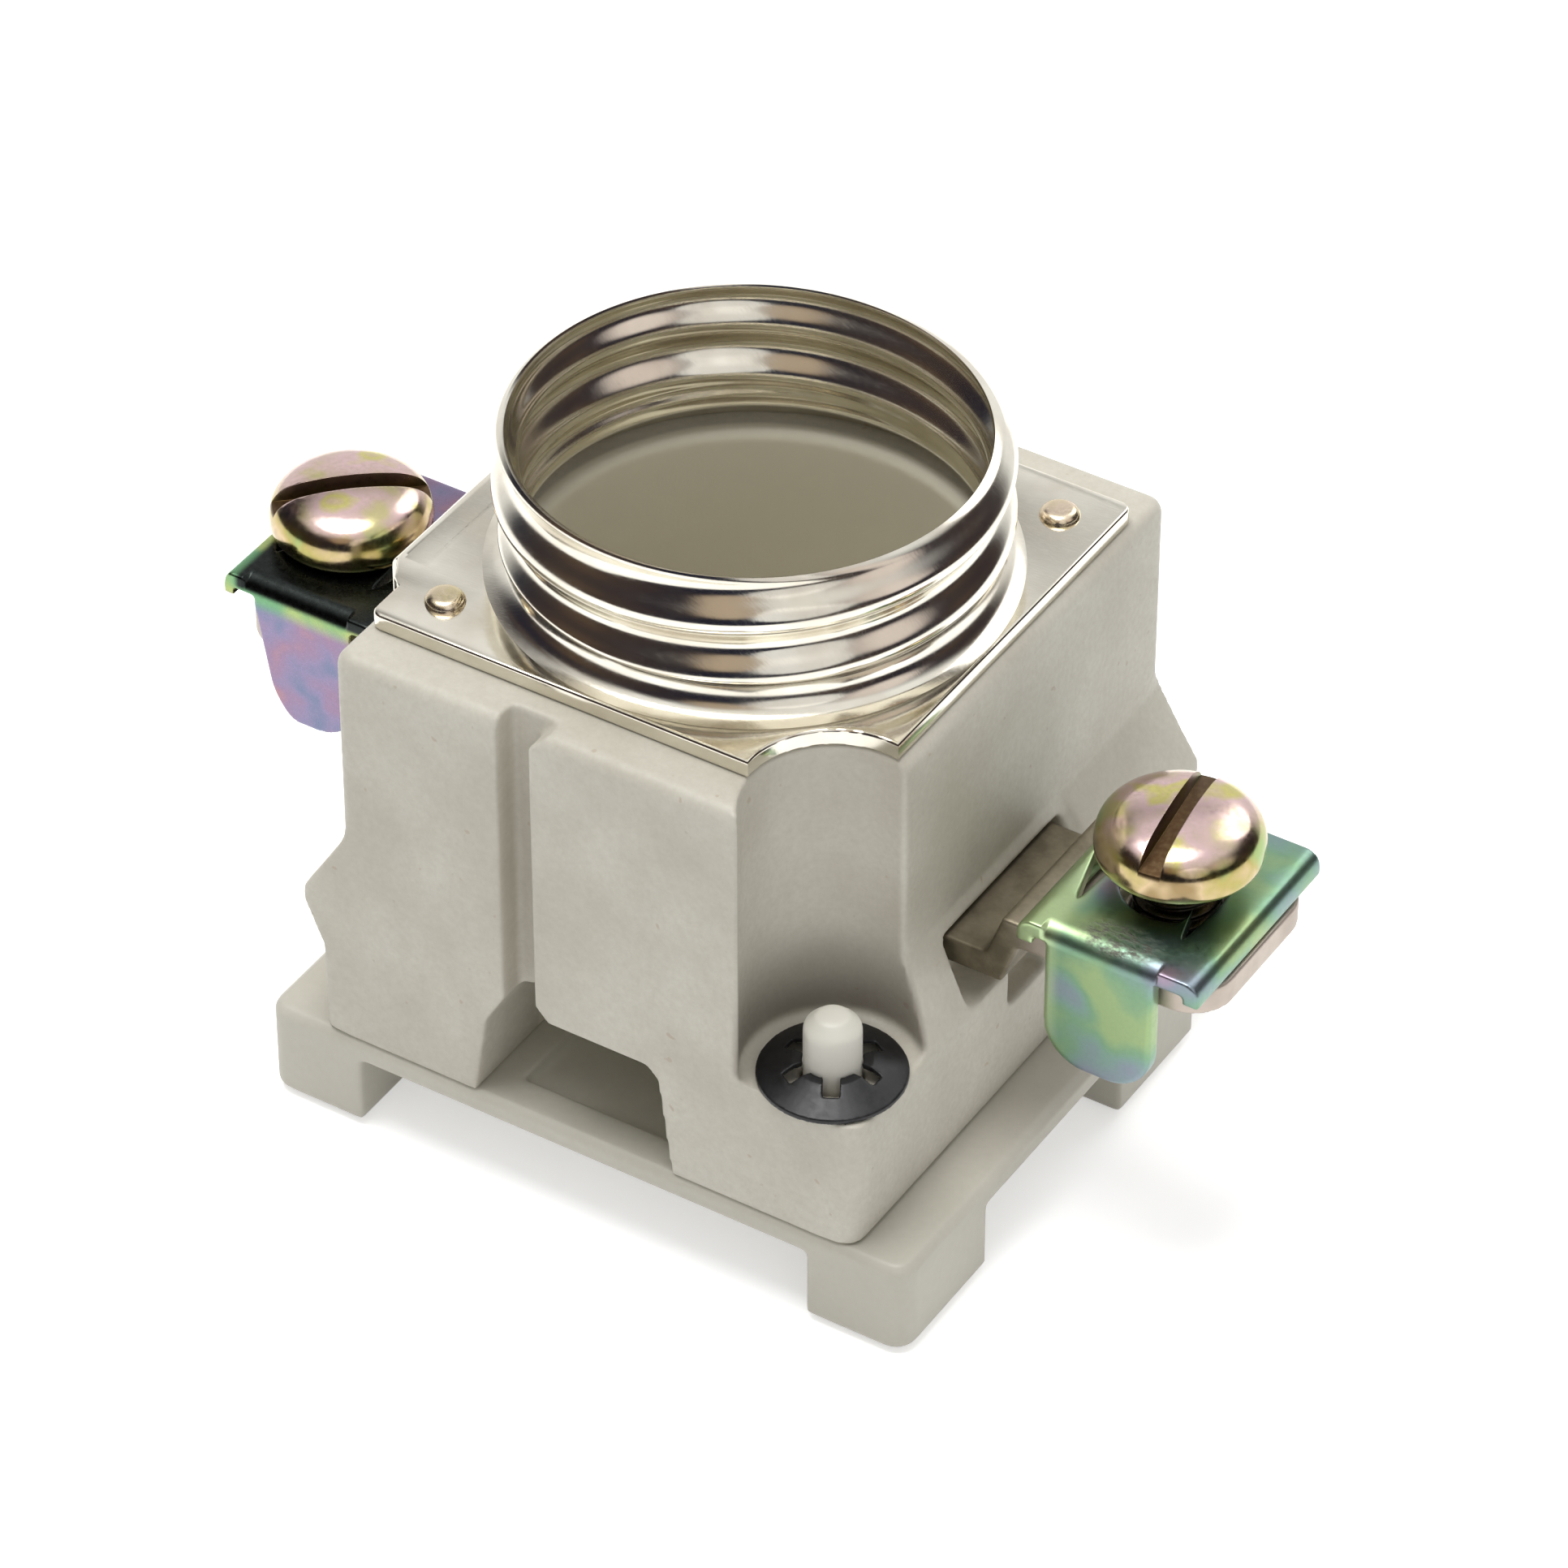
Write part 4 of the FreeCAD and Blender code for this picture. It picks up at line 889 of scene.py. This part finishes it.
# %% Washers
for end in ("front", "rear"):
    washer = softened(f"push_washer_{end}", f"toothed_washer_{end}", voxel_mm=0.1, rounds=2)
    dress(washer, BASE, black, "black_steel", f"push_washer_{end}")

# %% [markdown]
# ## The terminal screws
# Each screw is a turned head, a sawn slot and a rolled machine thread. The slot is cut with a
# boolean, a narrow bevel breaks its edges, and the thread comes from the same tree as the shell.

# %% Terminal screws
HEAD_RADIUS = 5.6
HEAD_UNDER = 24.95
HEAD_TOP = 28.9
SLOT_WIDTH = 1.5
SLOT_DEPTH = 1.6
SAW_LENGTH = 14
CORE_RADIUS = 2.45
SCREW_END = 14.4
DOME_RADIUS = 20.0
DOME_REACH = 3.2
RIM_START = 1.25
UNDER_INSET, UNDER_RISE = 0.9, 1.0
END_CHAMFER = 0.5


def curve(first, handle, last, steps=12):
    """A soft bend from first to last that leaves and arrives along the lines through the handle."""
    return [tuple((1 - t) ** 2 * a + 2 * t * (1 - t) * b + t ** 2 * c for a, b, c in zip(first, handle, last))
            for t in (step / steps for step in range(steps + 1))]


def head_profile():
    """From the screw's end up the core, out under the head, round its full rim and over the dome."""
    dome_edge = math.degrees(math.acos(DOME_REACH / DOME_RADIUS))
    dome = arc((0, HEAD_TOP - DOME_RADIUS), DOME_RADIUS, dome_edge, 90, 14)
    edge = dome[0]
    handle = (HEAD_RADIUS, edge[1] - (HEAD_RADIUS - edge[0]) / math.tan(math.radians(dome_edge)))
    rim = curve((HEAD_RADIUS, HEAD_UNDER + RIM_START), handle, edge)
    under = curve((HEAD_RADIUS - UNDER_INSET, HEAD_UNDER), (HEAD_RADIUS, HEAD_UNDER),
                  (HEAD_RADIUS, HEAD_UNDER + UNDER_RISE), 8)
    return [(0, SCREW_END), (CORE_RADIUS - END_CHAMFER, SCREW_END), (CORE_RADIUS, SCREW_END + END_CHAMFER),
            (CORE_RADIUS, HEAD_UNDER)] + under + rim[:-1] + dome[:-1] + [(0, HEAD_TOP)]


def terminal_screw(side, x_place, slot_turn, body, finish):
    node = f"terminal_screw_{side}"
    screw = turned(f"clamp_screw_{side}", head_profile(), steps=120, place=(x_place, 0))
    cutter_mesh = bpy.data.meshes.new("saw")
    shape = bmesh.new()
    bmesh.ops.create_cube(shape, size=1.0)
    size = Matrix.Diagonal((SAW_LENGTH * MM, SLOT_WIDTH * MM, 2 * SLOT_DEPTH * MM, 1))
    turn = Matrix.Rotation(math.radians(slot_turn), 4, "Z")
    bmesh.ops.transform(shape, verts=shape.verts,
                        matrix=Matrix.Translation((x_place * MM, 0, HEAD_TOP * MM)) @ turn @ size)
    shape.to_mesh(cutter_mesh)
    shape.free()
    cutter = show("saw", cutter_mesh)
    cut = screw.modifiers.new("slot", "BOOLEAN")
    cut.operation = "DIFFERENCE"
    cut.solver = "EXACT"
    cut.object = cutter
    edge = screw.modifiers.new("edge", "BEVEL")
    edge.width = 0.1 * MM
    edge.segments = 2
    edge.limit_method = "ANGLE"
    edge.angle_limit = math.radians(40)
    bake(screw)
    bpy.data.objects.remove(cutter)
    bpy.data.meshes.remove(cutter_mesh)
    smooth(screw, angle=40)
    dress(screw, body, finish, "zinc_gold", node)
    thread = threaded(f"machine_thread_{side}", shaded_thread_zinc, (x_place, 0), middle_radius=2.7, depth=0.56,
                      pitch=1.0, crest_height=20.0, front_angle=0, sheet=0.7, foot=SCREW_END + 0.3,
                      lip=HEAD_UNDER - 0.1, flare=0.05, run_in=0.4, around=64, rings=260)
    dress(thread, body, shaded_thread_zinc, "zinc_gold")


terminal_screw("left", -TERMINAL_X, SLOT_TURN["left"], LEFT_SCREW, straw_left)
terminal_screw("right", TERMINAL_X, SLOT_TURN["right"], RIGHT_SCREW, straw_right)

# %% [markdown]
# ## The small screws
# The flange screws come up from below; only their rounded ends show, a little above the flange.
# The two screws of the bottom contact are hidden, yet another view can find them.


# %% Small screws
def small_screw(node, shank, head_height, worn_off, bevel):
    """A small screw in the box of its solid; its end is worn off a little and rounded by the bevel."""
    low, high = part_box(node)
    centre = (low + high) / 2 / MM
    head = (high.x - low.x) / 2 / MM
    seat = low.z / MM + head_height
    bottom, top = low.z / MM, high.z / MM - worn_off
    profile = [(0, bottom), (head - 0.3, bottom), (head, bottom + 0.3), (head, seat), (shank, seat),
               (shank, top - bevel)] + arc((shank - bevel, top - bevel), bevel, 0, 90, 5) + [(0, top - 0.05)]
    screw = turned(node + "_end", profile, steps=64, place=(centre.x, centre.y))
    dress(screw, BASE, pale_zinc, "zinc_gold", node)


for side in ("left", "right"):
    small_screw(f"flange_screw_{side}", shank=1.375, head_height=2.0, worn_off=0.3, bevel=0.6)
    small_screw(f"contact_screw_{side}", shank=1.5, head_height=1.9, worn_off=0.0, bevel=0.2)

# %% [markdown]
# ## Floor and light
# The picture has a white ground. The floor is white by its own colour and keeps a faint contact
# shadow; a large soft lamp above and to the left, a weaker one on the right, and an even sky
# light the object at a plain level. The nickel mirrors more than that: a dim brown room on the
# camera's side, with two lit windows in it, draws the dark bands along the thread.


# %% Floor and backdrop
FLOOR = CAD_BOX[0][2]
FLOOR_GLOW = 0.45


def plane(name, size, place, facing):
    mesh = bpy.data.meshes.new(name)
    half = size / 2
    corners = [(-half, -half, 0), (half, -half, 0), (half, half, 0), (-half, half, 0)]
    mesh.from_pydata(corners, [], [(0, 1, 2, 3)])
    mesh.transform(Matrix.Translation(place) @ Vector(facing).to_track_quat("Z", "Y").to_matrix().to_4x4())
    return show(name, mesh)


def seen_directly(mix):
    """1 where a ray from the camera, a mirror or a glass looks at the surface."""
    path = mix.node("ShaderNodeLightPath")
    direct = mix.sums("MAXIMUM", path.outputs["Is Camera Ray"], path.outputs["Is Glossy Ray"])
    return mix.sums("MAXIMUM", direct, path.outputs["Is Transmission Ray"])


def floor_finish():
    mix = Recipe("white_floor")
    mix.finish(Base_Color=tint(250, 250, 250), Roughness=1.0, Specular_IOR_Level=0.0)
    glow = mix.node("ShaderNodeEmission", Color=(1, 1, 1, 1))
    mix.feed(glow.inputs["Strength"], mix.sums("MULTIPLY", seen_directly(mix), FLOOR_GLOW))
    both = mix.node("ShaderNodeAddShader")
    mix.feed(both.inputs[0], mix.shader.outputs[0])
    mix.feed(both.inputs[1], glow.outputs[0])
    output = next(node for node in mix.tree.nodes if node.type == "OUTPUT_MATERIAL")
    mix.feed(output.inputs["Surface"], both.outputs[0])
    return mix.material


floor = plane("floor", 6.0, (0, 0, FLOOR), (0, 0, 1))
floor.data.materials.append(floor_finish())


# %% World
SKY = 0.40
# each window's turn from the camera, lift and half width in degrees, and its colour; then the
# share of its width that is fully lit
WINDOWS = ((-16, 42, 15, tint(190, 172, 152)), (60, 36, 20, tint(236, 224, 220)))
WINDOW_LIT = 0.4


def sky():
    """White overhead and behind; mirrors also find the dim room on the camera's side and its two windows."""
    world = bpy.data.worlds.new("studio")
    bpy.context.scene.world = world
    mix = Recipe("studio", world, "Generated")
    drift = mix.noise(900.0, 2.0, 0.5, seed=2.0)
    height = mix.sums("ADD", mix.along((0, 0, 1)), mix.span(drift, 0.3, 0.7, -0.10, 0.10))
    towards = mix.along((math.sin(AZIMUTH), -math.cos(AZIMUTH), 0.35))
    room = mix.sums("SUBTRACT", 1.0, mix.ease(height, 0.60, 0.80))
    room = mix.sums("MULTIPLY", room, mix.ease(towards, -0.70, -0.40))
    tone = mix.ramp(mix.noise(1300.0, 2.0, 0.5, seed=5.0), [
        (0.36, tint(30, 32, 50)), (0.50, tint(50, 44, 50)), (0.64, tint(88, 72, 60))])
    colour = mix.blend(room, (1, 1, 1, 1), tone)
    for turn, lift, reach, glow in WINDOWS:
        side = AZIMUTH + math.radians(turn)
        up = math.radians(lift)
        centre = (math.sin(side) * math.cos(up), -math.cos(side) * math.cos(up), math.sin(up))
        window = mix.ease(mix.along(centre), math.cos(math.radians(reach)),
                          math.cos(math.radians(reach * WINDOW_LIT)))
        colour = mix.blend(window, colour, glow)
    path = mix.node("ShaderNodeLightPath")
    camera_or_diffuse = mix.blend(path.outputs["Is Camera Ray"], (SKY, SKY, SKY, 1), (1, 1, 1, 1))
    colour = mix.blend(path.outputs["Is Glossy Ray"], camera_or_diffuse, colour)
    mix.feed(mix.tree.nodes["Background"].inputs["Color"], colour)


sky()


# %% Lamps
def lamp(name, place, size, power):
    data = bpy.data.lights.new(name, "AREA")
    data.shape = "DISK"
    data.size = size
    data.energy = power
    light = bpy.data.objects.new(name, data)
    light.location = place
    light.rotation_euler = (Vector(place) - AIM).to_track_quat("Z", "Y").to_euler()
    bpy.context.scene.collection.objects.link(light)
    return light


lamp("key", (-0.12, -0.05, 0.95), size=0.6, power=6.8)
lamp("fill", (0.6, -0.5, 0.5), size=0.6, power=0.8)
lamp("back", (0.1, 0.7, 0.6), size=0.5, power=1.5)
bpy.context.scene.view_settings.view_transform = "Standard"

# %% Last update
bpy.context.view_layer.update()
